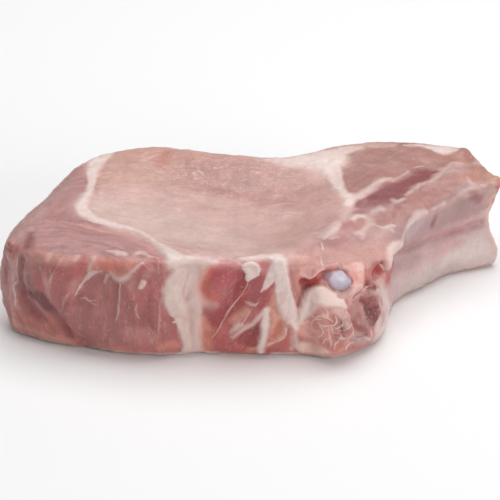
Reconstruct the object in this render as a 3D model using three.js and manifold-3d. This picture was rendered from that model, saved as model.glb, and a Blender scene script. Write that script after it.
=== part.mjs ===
// A raw, thick-cut pork rib chop, lying on its lower cut face. Millimetres, +Z up.
//
// The chop is one piece of meat, a body with a rim that runs round it, with two things set in it:
// the rib bone, which runs through the meat just behind the lining of the rib side, from its sawn,
// marrow-filled head at the front to its sawn tip at the right, and the knob of joint cartilage
// that shows in a hollow above the bone's head.
//
// +X runs along the chop from its fat-trimmed left end to the tip of the rib, +Y from the sawn
// spine side at the front to the belly side at the back. The finished chop's origin is at the middle
// of its foot, to which the solids are moved at the end.

import * as THREE from "three";
import { mergeVertices } from "three/addons/utils/BufferGeometryUtils.js";
import Module from "manifold-3d";

// ---- Driving dimensions ----

const THICKNESS = 34; // between the two cut faces, at the thick part of the rim
const DISH = 4.5; // how far the upper face sinks in the middle of the loin eye
const FIT_GAP = 0.3; // between the meat and what is set in it

// The middle of both cut faces: a line along them, and the one point where the skin's lines meet.
const MIDLINE = [new THREE.Vector2(-42, 5), new THREE.Vector2(56, 22)];
const CENTRE = MIDLINE[0].clone().lerp(MIDLINE[1], 0.5);
const MIDLINE_PULL = 0.6; // 0 for lines that run straight to the centre, 1 to bend them to the midline

// How finely the skin of the meat is divided.
const AROUND = 144;
const FLOOR_RINGS = 4;
const FOOT_RINGS = 3;
const WALL_RINGS = 8;
const SHOULDER_RINGS = 4;
const FACE_RINGS = 15;
const FACE_CROWDING = 1.25; // above 1, the face's rings lie closer together near the rim
const RIM_STEPS = 2000;
const CREASE_STEPS = 24;
const SAME_POINT = 1e-4; // corners closer together than this are one

// The loin eye, the large round muscle: its middle and half sizes on the upper face.
const EYE = { x: -12, y: 6, across: 44, deep: 34 };
const OUT_SPAN = 0.02; // the share of the rim's length, on both sides, that the way out of it is read over
const RIM_FADE = 22; // how far inwards the height of the rim is felt
const FLAT_FOOT = 3; // relief grows from nothing at the foot to its full depth at this height

// The rim, anticlockwise seen from above. x and y are where the side wall stands, and top is how
// much higher than THICKNESS the upper face is there. lean is how far the wall's top stands out past
// its foot, belly how far its middle bulges, and shoulder and foot are the roundings of its edges.
// fine is how closely the skin is divided there.
const RIM = [
  { place: "left corner", x: -80, y: -17, top: -1, lean: 0, belly: 2, shoulder: 5, foot: 3.5, fine: 1.2 },
  { place: "left front", x: -67, y: -28, top: 0, lean: 0, belly: 1, shoulder: 7, foot: 4, fine: 1.2 },
  { place: "big front lobe", x: -49, y: -33, top: 0, lean: -2, belly: 2, shoulder: 8, foot: 4, fine: 1 },
  { place: "lobe's end", x: -32, y: -37, top: 1, lean: -1, belly: 1, shoulder: 6, foot: 5, fine: 1 },
  { place: "fat seam", x: -18, y: -35, top: 2, lean: 0, belly: 1, shoulder: 4, foot: 4, fine: 1 },
  { place: "front middle", x: 0, y: -36, top: 2, lean: 0, belly: 1, shoulder: 3, foot: 4, fine: 1.2 },
  { place: "notch", x: 15, y: -36, top: 2, lean: -2, belly: 1, shoulder: 4, foot: 4, fine: 2.2 },
  { place: "spine lobe", x: 27, y: -38, top: -2, lean: -6, belly: 3, shoulder: 4, foot: 5, fine: 2.2 },
  { place: "bone head", x: 42, y: -28, top: -4, lean: -6, belly: 2, shoulder: 5, foot: 4, fine: 2.2 },
  { place: "bone corner", x: 46, y: -13, top: -6, lean: 0, belly: 0, shoulder: 8, foot: 3, fine: 2 },
  { place: "rib's root", x: 49, y: -2, top: -5, lean: 1, belly: 0, shoulder: 6, foot: 2, fine: 1.6 },
  { place: "rib side", x: 57, y: 6, top: -2, lean: 1, belly: 0, shoulder: 2, foot: 2, fine: 1.2 },
  { place: "rib side middle", x: 70, y: 17, top: -2, lean: 0, belly: 0, shoulder: 2, foot: 2, fine: 1 },
  { place: "rib tip", x: 84.5, y: 24, top: -1, lean: 0.5, belly: -2, shoulder: 2, foot: 2, fine: 1.4 },
  { place: "right end", x: 80.5, y: 34.5, top: 0, lean: 1, belly: -3, shoulder: 3, foot: 3, fine: 1.2 },
  { place: "back right", x: 76, y: 45.5, top: 1, lean: 0, belly: 0, shoulder: 2, foot: 4, fine: 1.2 },
  { place: "back flap", x: 54, y: 48, top: 2, lean: 1, belly: 0, shoulder: 2, foot: 4, fine: 1 },
  { place: "back fat", x: 36, y: 48, top: 2, lean: 1, belly: 0, shoulder: 3, foot: 5, fine: 1 },
  { place: "back waist", x: 10, y: 43, top: 0, lean: 0, belly: 1, shoulder: 4, foot: 5, fine: 0.8 },
  { place: "back of the eye", x: -14, y: 46, top: 0.7, lean: 0, belly: 1, shoulder: 4, foot: 5, fine: 0.8 },
  { place: "back left", x: -38, y: 51, top: 0, lean: 0, belly: 1, shoulder: 4, foot: 5, fine: 0.8 },
  { place: "left back", x: -59, y: 38, top: 0, lean: 0, belly: 1, shoulder: 4, foot: 5, fine: 1 },
  { place: "left side", x: -70, y: 13, top: 0, lean: 0, belly: 1, shoulder: 5, foot: 6, fine: 1 },
];

// Rounded swellings (rise above 0) and hollows (rise below 0) of the meat. reach is the distance
// at which one has faded to about a third.
const SWELLINGS = [
  { place: "big front lobe", at: [-44, -34, 16], reach: 14, rise: 1.5 },
  { place: "spine lobe", at: [28, -38, 11], reach: 9, rise: 2.5 },
  { place: "lobe's fat cap", at: [21, -35, 21], reach: 4, rise: 1.5 },
  { place: "hollow of the joint", at: [29, -31, 26], reach: 5.5, rise: -4.5 },
  { place: "corner hollow", at: [42, -19, 23], reach: 3.5, rise: -2 },
  { place: "flesh beside the joint", at: [37, -24, 25], reach: 3.5, rise: 1.5 },
  { place: "cap muscle", at: [-68, -4, 33], reach: 14, rise: 1 },
  { place: "back right muscle", at: [50, 34, 35], reach: 12, rise: 0.8 },
  { place: "upturned right edge", at: [84, 25, 32], reach: 4, rise: 0.8 },
  { place: "fat behind the eye", at: [-35, 51, 14], reach: 12, rise: 1.2 },
  { place: "hollow of the waist", at: [8, 44, 13], reach: 9, rise: -1.2 },
  { place: "fat of the belly end", at: [45, 49, 15], reach: 11, rise: 1.2 },
];

// Creases (depth above 0) and ridges (depth below 0), each along a smooth line through its points.
const CREASES = [
  {
    place: "behind the big front lobe",
    through: [[-73, -24, 27], [-73, -26, 18], [-66, -32, 9], [-55, -33, 3]],
    width: 3.5,
    depth: 3,
  },
  { place: "left edge flap", through: [[-79, -19, 26], [-80, -20, 8]], width: 2.5, depth: 2 },
  { place: "ridge of fat", through: [[10, -33, 35], [13, -36, 27], [16, -37, 18]], width: 3, depth: -1.2 },
  {
    place: "spine notch",
    through: [[21, -22, 33], [19, -32, 28], [18.5, -36, 18], [19, -38, 5]],
    width: 3.2,
    depth: 3,
  },
  { place: "seam of the front", through: [[-18, -36, 32], [-17, -37, 4]], width: 3, depth: 1 },
  {
    place: "above the rib",
    through: [[47, -8, 17], [54, 5, 17.5], [65, 14, 18], [81, 24, 20]],
    width: 2.5,
    depth: 1.8,
  },
  {
    place: "swell of the rib",
    through: [[49, -2, 9], [57, 6, 9], [70, 17, 9], [84, 25, 8]],
    width: 5,
    depth: -1.8,
  },
  {
    place: "edge of the lining",
    through: [[50, -2, 25], [47, -9, 22], [45, -16, 17]],
    width: 2,
    depth: -1.2,
  },
  { place: "dark strip", through: [[36, 12, 31], [50, 22, 33], [63, 33, 34]], width: 3.5, depth: 1.4 },
  {
    place: "meat between the ribs",
    through: [[45, -2, 30], [58, 13, 32], [76, 30, 33]],
    width: 5,
    depth: -1,
  },
];

// The rib: its centre line from the sawn head to past the sawn tip, with half its width across the
// rib side and half its height there.
const RIB = [
  { at: [34, -42, 16], across: 5.5, up: 7.5 },
  { at: [37.5, -29, 15], across: 5.3, up: 7.2 },
  { at: [39.5, -14, 12], across: 4.2, up: 6.8 },
  { at: [44.5, 0, 9.5], across: 3.5, up: 6.6 },
  { at: [56, 12.5, 9], across: 3.5, up: 6.4 },
  { at: [67, 22, 9], across: 3.5, up: 6.2 },
  { at: [81, 30, 9], across: 3.5, up: 6 },
  { at: [92, 36, 9], across: 3.5, up: 6 },
];
const RIB_SIDES = 16;
const RIB_STEPS = 30;

// The knob of joint cartilage: its middle, its half sizes and how far it leans back, in radians.
const KNOB = { at: [26.3, -26.5, 24], size: [6.2, 4, 5], tilt: 0.35 };
const KNOB_SIDES = 20;
const KNOB_RINGS = 12;

// ---- Materials ----

const finish = (color, roughness) => new THREE.MeshStandardMaterial({ color, roughness, metalness: 0 });
const MEAT = finish(0xc8958c, 0.5);
const BONE = finish(0xd9c2b6, 0.55);
const CARTILAGE = finish(0xc4b6c2, 0.3);

// ---- Helpers ----

const wasm = await Module();
wasm.setup();

// A mesh of three.js as a closed solid, its doubled vertices joined.
function solidOf(geometry) {
  const bare = geometry.clone();
  bare.deleteAttribute("normal");
  bare.deleteAttribute("uv");
  const joined = mergeVertices(bare, SAME_POINT);
  return new wasm.Manifold(
    new wasm.Mesh({
      numProp: 3,
      vertProperties: new Float32Array(joined.attributes.position.array),
      triVerts: new Uint32Array(joined.index.array),
    }),
  );
}

// A closed solid as a geometry of three.js.
function geometryOf(solid) {
  const { vertProperties, triVerts } = solid.getMesh();
  const geometry = new THREE.BufferGeometry();
  geometry.setAttribute("position", new THREE.BufferAttribute(vertProperties, 3));
  geometry.setIndex(new THREE.BufferAttribute(triVerts, 1));
  geometry.computeVertexNormals();
  return geometry;
}

function namedMesh(name, solid, material) {
  const mesh = new THREE.Mesh(geometryOf(solid), material);
  mesh.name = name;
  return mesh;
}

// The bell curve that swellings and creases share: 1 in the middle, about a third at reach.
const bell = (distance, reach) => Math.exp(-((distance / reach) ** 2));

// ---- The meat ----

// A smooth closed curve through three of the rim's values, by the share of the way round.
const rimCurve = (value) =>
  new THREE.CatmullRomCurve3(RIM.map(value), true, "centripetal");

const rimPlan = rimCurve((r) => new THREE.Vector3(r.x, r.y, 0));
rimPlan.arcLengthDivisions = RIM_STEPS;

// A value of the rim between its stations, by a closed curve of its own.
function rimValue(name) {
  const values = RIM.map((r) => r[name]);
  return (t) => {
    const place = t * values.length;
    const before = Math.floor(place) % values.length;
    const after = (before + 1) % values.length;
    const share = THREE.MathUtils.smoothstep(place - Math.floor(place), 0, 1);
    return THREE.MathUtils.lerp(values[before], values[after], share);
  };
}

const rimTop = rimValue("top");
const rimLean = rimValue("lean");
const rimBelly = rimValue("belly");
const rimShoulder = rimValue("shoulder");
const rimFoot = rimValue("foot");
const rimFine = rimValue("fine");

// The shares of the way round at which the skin's lines stand, closer together where fine is large.
function lineShares() {
  const passed = [0];
  for (let i = 0; i < RIM_STEPS; i++) {
    passed.push(passed[i] + rimFine(rimPlan.getUtoTmapping((i + 0.5) / RIM_STEPS)));
  }
  const shares = [];
  let step = 0;
  for (let line = 0; line < AROUND; line++) {
    const wanted = (line / AROUND) * passed[RIM_STEPS];
    while (passed[step + 1] < wanted) step++;
    shares.push((step + (wanted - passed[step]) / (passed[step + 1] - passed[step])) / RIM_STEPS);
  }
  return shares;
}

// The height of the upper face away from the rim.
function faceHeight(x, y) {
  const fromEye = Math.hypot((x - EYE.x) / EYE.across, (y - EYE.y) / EYE.deep);
  return THICKNESS - DISH * Math.exp(-(fromEye ** 3));
}

// The rim's station at a share of the way round: where the wall stands, and its sizes.
function station(share) {
  const t = rimPlan.getUtoTmapping(share);
  const place = rimPlan.getPoint(t);
  const before = rimPlan.getPointAt((share + 1 - OUT_SPAN) % 1);
  const along = rimPlan.getPointAt((share + OUT_SPAN) % 1).sub(before);
  return {
    foot: new THREE.Vector2(place.x, place.y),
    out: new THREE.Vector2(along.y, -along.x).normalize(),
    height: THICKNESS + rimTop(t),
    lean: rimLean(t),
    belly: rimBelly(t),
    shoulder: rimShoulder(t),
    footRound: rimFoot(t),
  };
}

// The way from an edge of a cut face to its centre, bent towards the nearest of the midline.
function wayIn(edge) {
  const midline = MIDLINE[1].clone().sub(MIDLINE[0]);
  const share = edge.clone().sub(MIDLINE[0]).dot(midline) / midline.lengthSq();
  const nearest = MIDLINE[0].clone().lerp(MIDLINE[1], THREE.MathUtils.clamp(share, 0, 1));
  return new THREE.QuadraticBezierCurve(edge, CENTRE.clone().lerp(nearest, MIDLINE_PULL), CENTRE);
}

// One upright line of the skin's points, from the middle of the foot to the middle of the upper face.
function skinLine(share) {
  const s = station(share);
  const line = [];
  const add = (outward, z) => {
    const at = s.foot.clone().addScaledVector(s.out, outward);
    line.push(new THREE.Vector3(at.x, at.y, z));
  };
  const wallLow = s.footRound;
  const wallHigh = s.height - s.shoulder;

  const floorEdge = s.foot.clone().addScaledVector(s.out, -s.footRound);
  const floorWay = wayIn(floorEdge);
  for (let i = 0; i < FLOOR_RINGS; i++) {
    const at = floorWay.getPoint(1 - i / FLOOR_RINGS);
    line.push(new THREE.Vector3(at.x, at.y, 0));
  }
  for (let i = 0; i < FOOT_RINGS; i++) {
    const turn = (i / FOOT_RINGS) * (Math.PI / 2);
    add(s.footRound * (Math.sin(turn) - 1), s.footRound * (1 - Math.cos(turn)));
  }
  for (let i = 0; i < WALL_RINGS; i++) {
    const up = i / WALL_RINGS;
    add(s.lean * up + s.belly * Math.sin(Math.PI * up), THREE.MathUtils.lerp(wallLow, wallHigh, up));
  }
  for (let i = 0; i < SHOULDER_RINGS; i++) {
    const turn = (i / SHOULDER_RINGS) * (Math.PI / 2);
    add(s.lean + s.shoulder * (Math.cos(turn) - 1), wallHigh + s.shoulder * Math.sin(turn));
  }
  const faceEdge = s.foot.clone().addScaledVector(s.out, s.lean - s.shoulder);
  const faceWay = wayIn(faceEdge);
  for (let i = 0; i <= FACE_RINGS; i++) {
    const at = faceWay.getPoint((i / FACE_RINGS) ** FACE_CROWDING);
    const faded = THREE.MathUtils.smoothstep(at.distanceTo(faceEdge), 0, RIM_FADE);
    line.push(new THREE.Vector3(at.x, at.y, THREE.MathUtils.lerp(s.height, faceHeight(at.x, at.y), faded)));
  }
  return line;
}

// How far the skin at a point is pushed out by the swellings and creases near it.
const creaseLines = CREASES.map((crease) => {
  const curve = new THREE.CatmullRomCurve3(crease.through.map((p) => new THREE.Vector3(...p)));
  return { ...crease, points: curve.getSpacedPoints(CREASE_STEPS) };
});

function relief(point) {
  let push = 0;
  for (const swelling of SWELLINGS) {
    push += swelling.rise * bell(point.distanceTo(new THREE.Vector3(...swelling.at)), swelling.reach);
  }
  for (const crease of creaseLines) {
    const distance = Math.min(...crease.points.map((p) => point.distanceTo(p)));
    push -= crease.depth * bell(distance, crease.width);
  }
  return push;
}

// The whole outer body, before the rib and the cartilage are let into it. A sphere's grid is
// wrapped round the chop, its poles at the middles of the two cut faces.
function bodyGeometry() {
  const rings = FLOOR_RINGS + FOOT_RINGS + WALL_RINGS + SHOULDER_RINGS + FACE_RINGS;
  const skin = new THREE.SphereGeometry(1, AROUND, rings);
  const places = skin.attributes.position;
  const shares = lineShares();
  for (let around = 0; around <= AROUND; around++) {
    const line = skinLine(shares[around % AROUND]);
    for (let ring = 0; ring <= rings; ring++) {
      const p = line[rings - ring];
      places.setXYZ(ring * (AROUND + 1) + around, p.x, p.y, p.z);
    }
  }
  skin.deleteAttribute("normal");
  skin.deleteAttribute("uv");
  const body = mergeVertices(skin, SAME_POINT);
  body.computeVertexNormals();

  const at = body.attributes.position;
  const normals = body.attributes.normal;
  const point = new THREE.Vector3();
  const normal = new THREE.Vector3();
  for (let i = 0; i < at.count; i++) {
    point.fromBufferAttribute(at, i);
    normal.fromBufferAttribute(normals, i);
    point.addScaledVector(normal, relief(point) * THREE.MathUtils.smoothstep(point.z, 0, FLAT_FOOT));
    at.setXYZ(i, point.x, point.y, Math.max(point.z, 0));
  }
  return body;
}

// ---- The rib ----

// A tube along the rib's line, of changing section, with grow added to its half sizes.
function ribGeometry(grow) {
  const line = new THREE.CatmullRomCurve3(RIB.map((r) => new THREE.Vector3(...r.at)));
  const sizes = new THREE.CatmullRomCurve3(RIB.map((r) => new THREE.Vector3(r.across, r.up, 0)));
  const tube = new THREE.CylinderGeometry(1, 1, 1, RIB_SIDES, RIB_STEPS);
  const places = tube.attributes.position;
  const up = new THREE.Vector3(0, 0, 1);
  for (let i = 0; i < places.count; i++) {
    const t = 0.5 - places.getY(i);
    const size = sizes.getPoint(t);
    const along = line.getTangent(t);
    const across = new THREE.Vector3().crossVectors(along, up).normalize();
    const p = line
      .getPoint(t)
      .addScaledVector(across, places.getX(i) * (size.x + grow))
      .addScaledVector(up, -places.getZ(i) * (size.y + grow));
    places.setXYZ(i, p.x, p.y, p.z);
  }
  return tube;
}

// ---- The cartilage ----

function knobGeometry(grow) {
  const [across, deep, high] = KNOB.size.map((half) => half + grow);
  return new THREE.SphereGeometry(1, KNOB_SIDES, KNOB_RINGS)
    .scale(across, deep, high)
    .rotateX(KNOB.tilt)
    .translate(...KNOB.at);
}

// ---- The chop ----

const body = solidOf(bodyGeometry());
const rib = solidOf(ribGeometry(0)).intersect(body);
const knob = solidOf(knobGeometry(0)).subtract(solidOf(ribGeometry(FIT_GAP)));
const meat = body.subtract(solidOf(ribGeometry(FIT_GAP))).subtract(solidOf(knobGeometry(FIT_GAP)));

const { min, max } = body.boundingBox();
const toOrigin = [-(min[0] + max[0]) / 2, -(min[1] + max[1]) / 2, 0];

const chop = new THREE.Group();
chop.add(namedMesh("meat", meat.translate(toOrigin), MEAT));
chop.add(namedMesh("rib_bone", rib.translate(toOrigin), BONE));
chop.add(namedMesh("joint_cartilage", knob.translate(toOrigin), CARTILAGE));

export default chop;
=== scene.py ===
"""A raw pork rib chop on a pale floor: its meat, its rib bone and its knob of joint cartilage.

The meat is one skin. What tells its muscles apart, the lean's colours, the fat, the fine threads,
the folds and the run of the fibres, is drawn on that skin as strokes, each along a smooth line in
millimetres. A stroke of the cut faces is drawn in plan, so it runs through the chop and shows on
both cuts and on the back. A stroke of the sides lies where its points say.
"""

from __future__ import annotations

import logging
import math
from dataclasses import dataclass, field
from enum import Enum
from functools import reduce
from typing import Sequence

import bmesh
import bpy
import numpy as np
from mathutils import Matrix, Vector, noise
from mathutils.bvhtree import BVHTree

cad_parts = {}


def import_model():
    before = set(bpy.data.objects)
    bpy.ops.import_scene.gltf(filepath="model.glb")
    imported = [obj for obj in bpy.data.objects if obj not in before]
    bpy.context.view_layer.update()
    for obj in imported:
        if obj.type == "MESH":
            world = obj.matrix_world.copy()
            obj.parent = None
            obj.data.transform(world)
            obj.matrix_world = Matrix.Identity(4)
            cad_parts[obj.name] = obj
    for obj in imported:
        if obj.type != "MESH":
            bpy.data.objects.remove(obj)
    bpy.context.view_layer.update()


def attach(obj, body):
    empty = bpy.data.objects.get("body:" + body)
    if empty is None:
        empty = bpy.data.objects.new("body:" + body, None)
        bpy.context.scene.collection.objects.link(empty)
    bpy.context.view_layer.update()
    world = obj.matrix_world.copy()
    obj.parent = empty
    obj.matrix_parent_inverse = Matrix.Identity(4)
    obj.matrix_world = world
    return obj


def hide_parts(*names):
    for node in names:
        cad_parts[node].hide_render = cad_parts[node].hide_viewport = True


LOG = logging.getLogger("pork_chop")
MM = 0.001
JOIN = 1e-6

Array = np.ndarray
Ball = tuple[float, float, float, float]
Socket = bpy.types.NodeSocket
Value = float | Sequence[float] | Socket


class Skin(Enum):
    """Where on the meat a stroke is drawn."""

    CUTS = "in plan, through both cut faces and the back"
    SIDES = "on the front, the ends and the rib side"


class Tone(Enum):
    """The lean's colours, as sRGB from 0 to 255: most as in even white light, but those of recesses, hollows,
    grooves, the deep notch, the dark corner and the left valley hold painted shade, and those of the feet
    painted light from the floor.
    """

    # The cut faces.
    MAUVE = (173, 125, 123)
    CAP_FRONT = (189, 142, 140)
    CAP_BACK = (180, 140, 137)
    EYE_WARM = (194, 150, 138)
    EYE_EDGE = (200, 152, 138)
    EYE_DEEP = (184, 135, 128)
    EYE_PALE = (211, 181, 172)
    EYE_RIGHT = (194, 151, 144)
    TAN_PINK = (204, 165, 153)
    ORANGE_BROWN = (173, 120, 107)
    ROSE = (187, 145, 141)
    CREAM = (198, 150, 127)
    WINE = (146, 83, 84)
    WINE_SOFT = (166, 115, 115)
    ROSE_RED = (179, 124, 118)
    PEACH_PINK = (202, 153, 145)
    CAP_WARM = (202, 148, 141)
    ROSE_MAUVE = (179, 127, 126)
    # The sides, some of them also on the cut faces or the bone.
    LEFT_BULGE = (178, 111, 107)
    # Painted shade, dark red, for the recesses of the cap.
    RECESS_SHADE_RED = (109, 42, 41)
    # Painted shade of the valley between the left end and the big lobe, over the valley's own red: its
    # darkest part and its walls.
    VALLEY_SHADE_DARK = (122, 69, 69)
    VALLEY_WALL_SHADED = (148, 95, 92)
    # Partly painted light: the feet's tones are made lighter for the light thrown up from the floor, over
    # their own colour.
    FOOT_LEFT_FLOOR_LIT = (196, 140, 124)
    RAG_BROWN = (208, 170, 155)
    RIB_WHITE = (215, 194, 190)
    LINING_CORNER = (192, 150, 142)
    BAND_ORANGE = (218, 118, 100)
    EYE_RED = (184, 123, 107)
    BROWN_PINK = (169, 121, 113)
    ROSE_DEEP = (168, 113, 105)
    ORANGE_BROWN2 = (180, 126, 111)
    LOBE = (196, 140, 131)
    LOBE_RED = (165, 98, 96)
    MAUVE_PINK = (231, 170, 166)
    LOBE_LOW = (159, 96, 93)
    ORANGE_RED = (197, 133, 123)
    DARK_MAUVE = (165, 104, 101)
    LOBE_END = (180, 108, 105)
    LOBE_END_DARK = (152, 88, 87)
    RED_BRIGHT = (167, 101, 97)
    # Partly painted light from the floor, over the foot's own colour.
    ORANGE_FOOT_FLOOR_LIT = (198, 126, 112)
    LEFT_SIDE = (187, 132, 128)
    LEFT_LOW = (177, 105, 96)
    MID_RED = (175, 94, 92)
    MID_WINE = (181, 89, 94)
    MID_DARK = (157, 60, 61)
    MID_WINE2 = (193, 124, 121)
    MID_RED2 = (161, 72, 74)
    GREY_PINK = (157, 82, 85)
    # Painted shade in the dark hollow of the middle, over its own red.
    HOLLOW_SHADE_RED = (146, 66, 65)
    RED_FOLD = (186, 102, 93)
    NOTCH_WALL = (200, 137, 129)
    NOTCH_RED = (184, 88, 80)
    # Painted shade deep in the notch.
    NOTCH_SHADE_DARK = (149, 73, 69)
    BLOOD = (172, 70, 64)
    BRAIN = (210, 145, 135)
    BRAIN_ORANGE = (236, 174, 160)
    BRAIN_MAUVE = (165, 100, 95)
    FLESH_PINK = (229, 174, 162)
    FLESH_PALE = (232, 188, 180)
    FLESH_ORANGE = (241, 176, 161)
    # Painted shade in the hole of the dark corner, on the meat and on the bone.
    CORNER_SHADE_PURPLE = (132, 70, 70)
    LINING = (199, 166, 165)
    LINING_GREY = (173, 139, 138)
    LINING_DARK = (144, 91, 93)
    LINING_PALE = (182, 156, 157)
    LINING_PINK = (191, 147, 145)
    # Painted shade in the groove above the rib, over the lining's own colour.
    GROOVE_SHADE = (173, 137, 137)
    RIB_PALE = (202, 183, 178)
    RIB_PINK = (206, 159, 158)
    END_TAN = (208, 172, 160)
    ORANGE_SEAM = (208, 145, 128)
    ORANGE_PATCH = (216, 155, 133)
    ORANGE_RED2 = (196, 101, 91)
    MID_BELOW = (186, 98, 92)
    # Partly painted light from the floor, over the foot's own colour.
    ORANGE_FOOT2_FLOOR_LIT = (210, 146, 124)
    # Painted shade of the same valley, over its own red: its floor and its end.
    VALLEY_RED_SHADED = (147, 86, 85)
    FLAP_GREY = (164, 112, 110)
    FLESH_GREY = (176, 138, 134)
    FLESH_PALE2 = (209, 154, 149)
    FLESH_RED = (233, 165, 150)
    LIP_PINK = (204, 152, 142)
    NOTCH_SHADE = (202, 122, 108)
    # Partly painted light from the floor, over the foot's own colour.
    FOOT_TAN_FLOOR_LIT = (232, 196, 178)
    # Painted shade in the hollow under the bone's head.
    HOLLOW_SHADE_MAUVE = (137, 73, 67)
    LOBE_DEEP = (173, 97, 94)
    DARK_TOP = (169, 112, 111)
    ORANGE_CORE = (198, 118, 105)
    LOBE_LOW2 = (185, 123, 118)
    # Partly painted light from the floor, over the foot's own colour.
    ORANGE_FOOT3_FLOOR_LIT = (192, 128, 110)
    MID_PINK = (222, 158, 154)
    MID_ORANGE = (210, 137, 117)
    ORANGE_PATCH2 = (185, 102, 87)
    BRAIN_RED = (179, 104, 96)
    CORNER_MAUVE = (194, 119, 114)
    # Painted shade in the groove above the rib, over the lining's own colour.
    GROOVE_SHADE_PINK = (194, 140, 138)
    HEAD_RIM = (206, 182, 176)
    LEFT_DARK = (172, 106, 104)
    STREAK = (182, 145, 143)
    CRACK = (177, 113, 108)
    # The bone.
    EYE = (206, 168, 161)
    BONE = (210, 172, 166)
    BONE_PINK = (171, 122, 116)
    BONE_GREY = (164, 130, 124)
    BONE_PALE = (186, 156, 150)
    MARROW = (109, 33, 32)
    MARROW_SOFT = (153, 85, 81)
    # The cartilage.
    KNOB_GREY = (186, 174, 187)
    KNOB_BLUE = (209, 202, 214)
    KNOB_EDGE = (186, 150, 156)


class FatTone(Enum):
    """The colours of fat, as sRGB from 0 to 255."""

    WHITE = (232, 214, 207)
    BEIGE = (220, 196, 188)
    PINK = (222, 190, 182)
    # Painted shade, for the creases of the band.
    SHADE = (200, 162, 150)
    BAND = (222, 198, 189)
    CREAM = (230, 207, 198)


def linear(srgb: Sequence[float]) -> Array:
    """Turns a colour, given as sRGB from 0 to 255, into linear light from 0 to 1."""
    share = np.asarray(srgb, dtype=float) / 255
    return np.where(share <= 0.04045, share / 12.92, ((share + 0.055) / 1.055) ** 2.4)


def smoothstep(low: float, high: float, value: Array) -> Array:
    """A smooth rise from 0 at low to 1 at high."""
    share = np.clip((value - low) / (high - low), 0, 1)
    return share * share * (3 - 2 * share)


@dataclass(frozen=True)
class Stroke:
    """A mark along a smooth line.

    Attributes:
        name: What it shows.
        through: The line's points: x, y and half width in mm on the cuts, x, y, z and half width
            on the sides. The half width of a line of grain means nothing.
    """

    name: str
    through: tuple[tuple[float, ...], ...]

    @property
    def skin(self) -> Skin:
        """Where it is drawn, by how many values its points have."""
        return Skin.CUTS if len(self.through[0]) == 3 else Skin.SIDES


@dataclass(frozen=True)
class Wash(Stroke):
    """A soft patch of colour in the lean: tone, width of its soft edge in mm, and strength."""

    tone: Tone
    soft: float
    strength: float = 0.85


@dataclass(frozen=True)
class Fat(Stroke):
    """A streak or patch of fat: rise in mm, width of its soft edge in mm, and how well it covers."""

    tone: FatTone
    rise: float
    soft: float
    cover: float = 0.9


@dataclass(frozen=True)
class Thread(Stroke):
    """A thread of white tissue, finer than a streak of fat."""

    strength: float
    rise: float = 0.1


@dataclass(frozen=True)
class Fold(Stroke):
    """A ridge, or with rise below 0 a furrow, with no colour of its own."""

    rise: float


@dataclass(frozen=True)
class Grain(Stroke):
    """A line that the fibres near it follow, and how plainly they show."""

    strength: float


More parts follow.
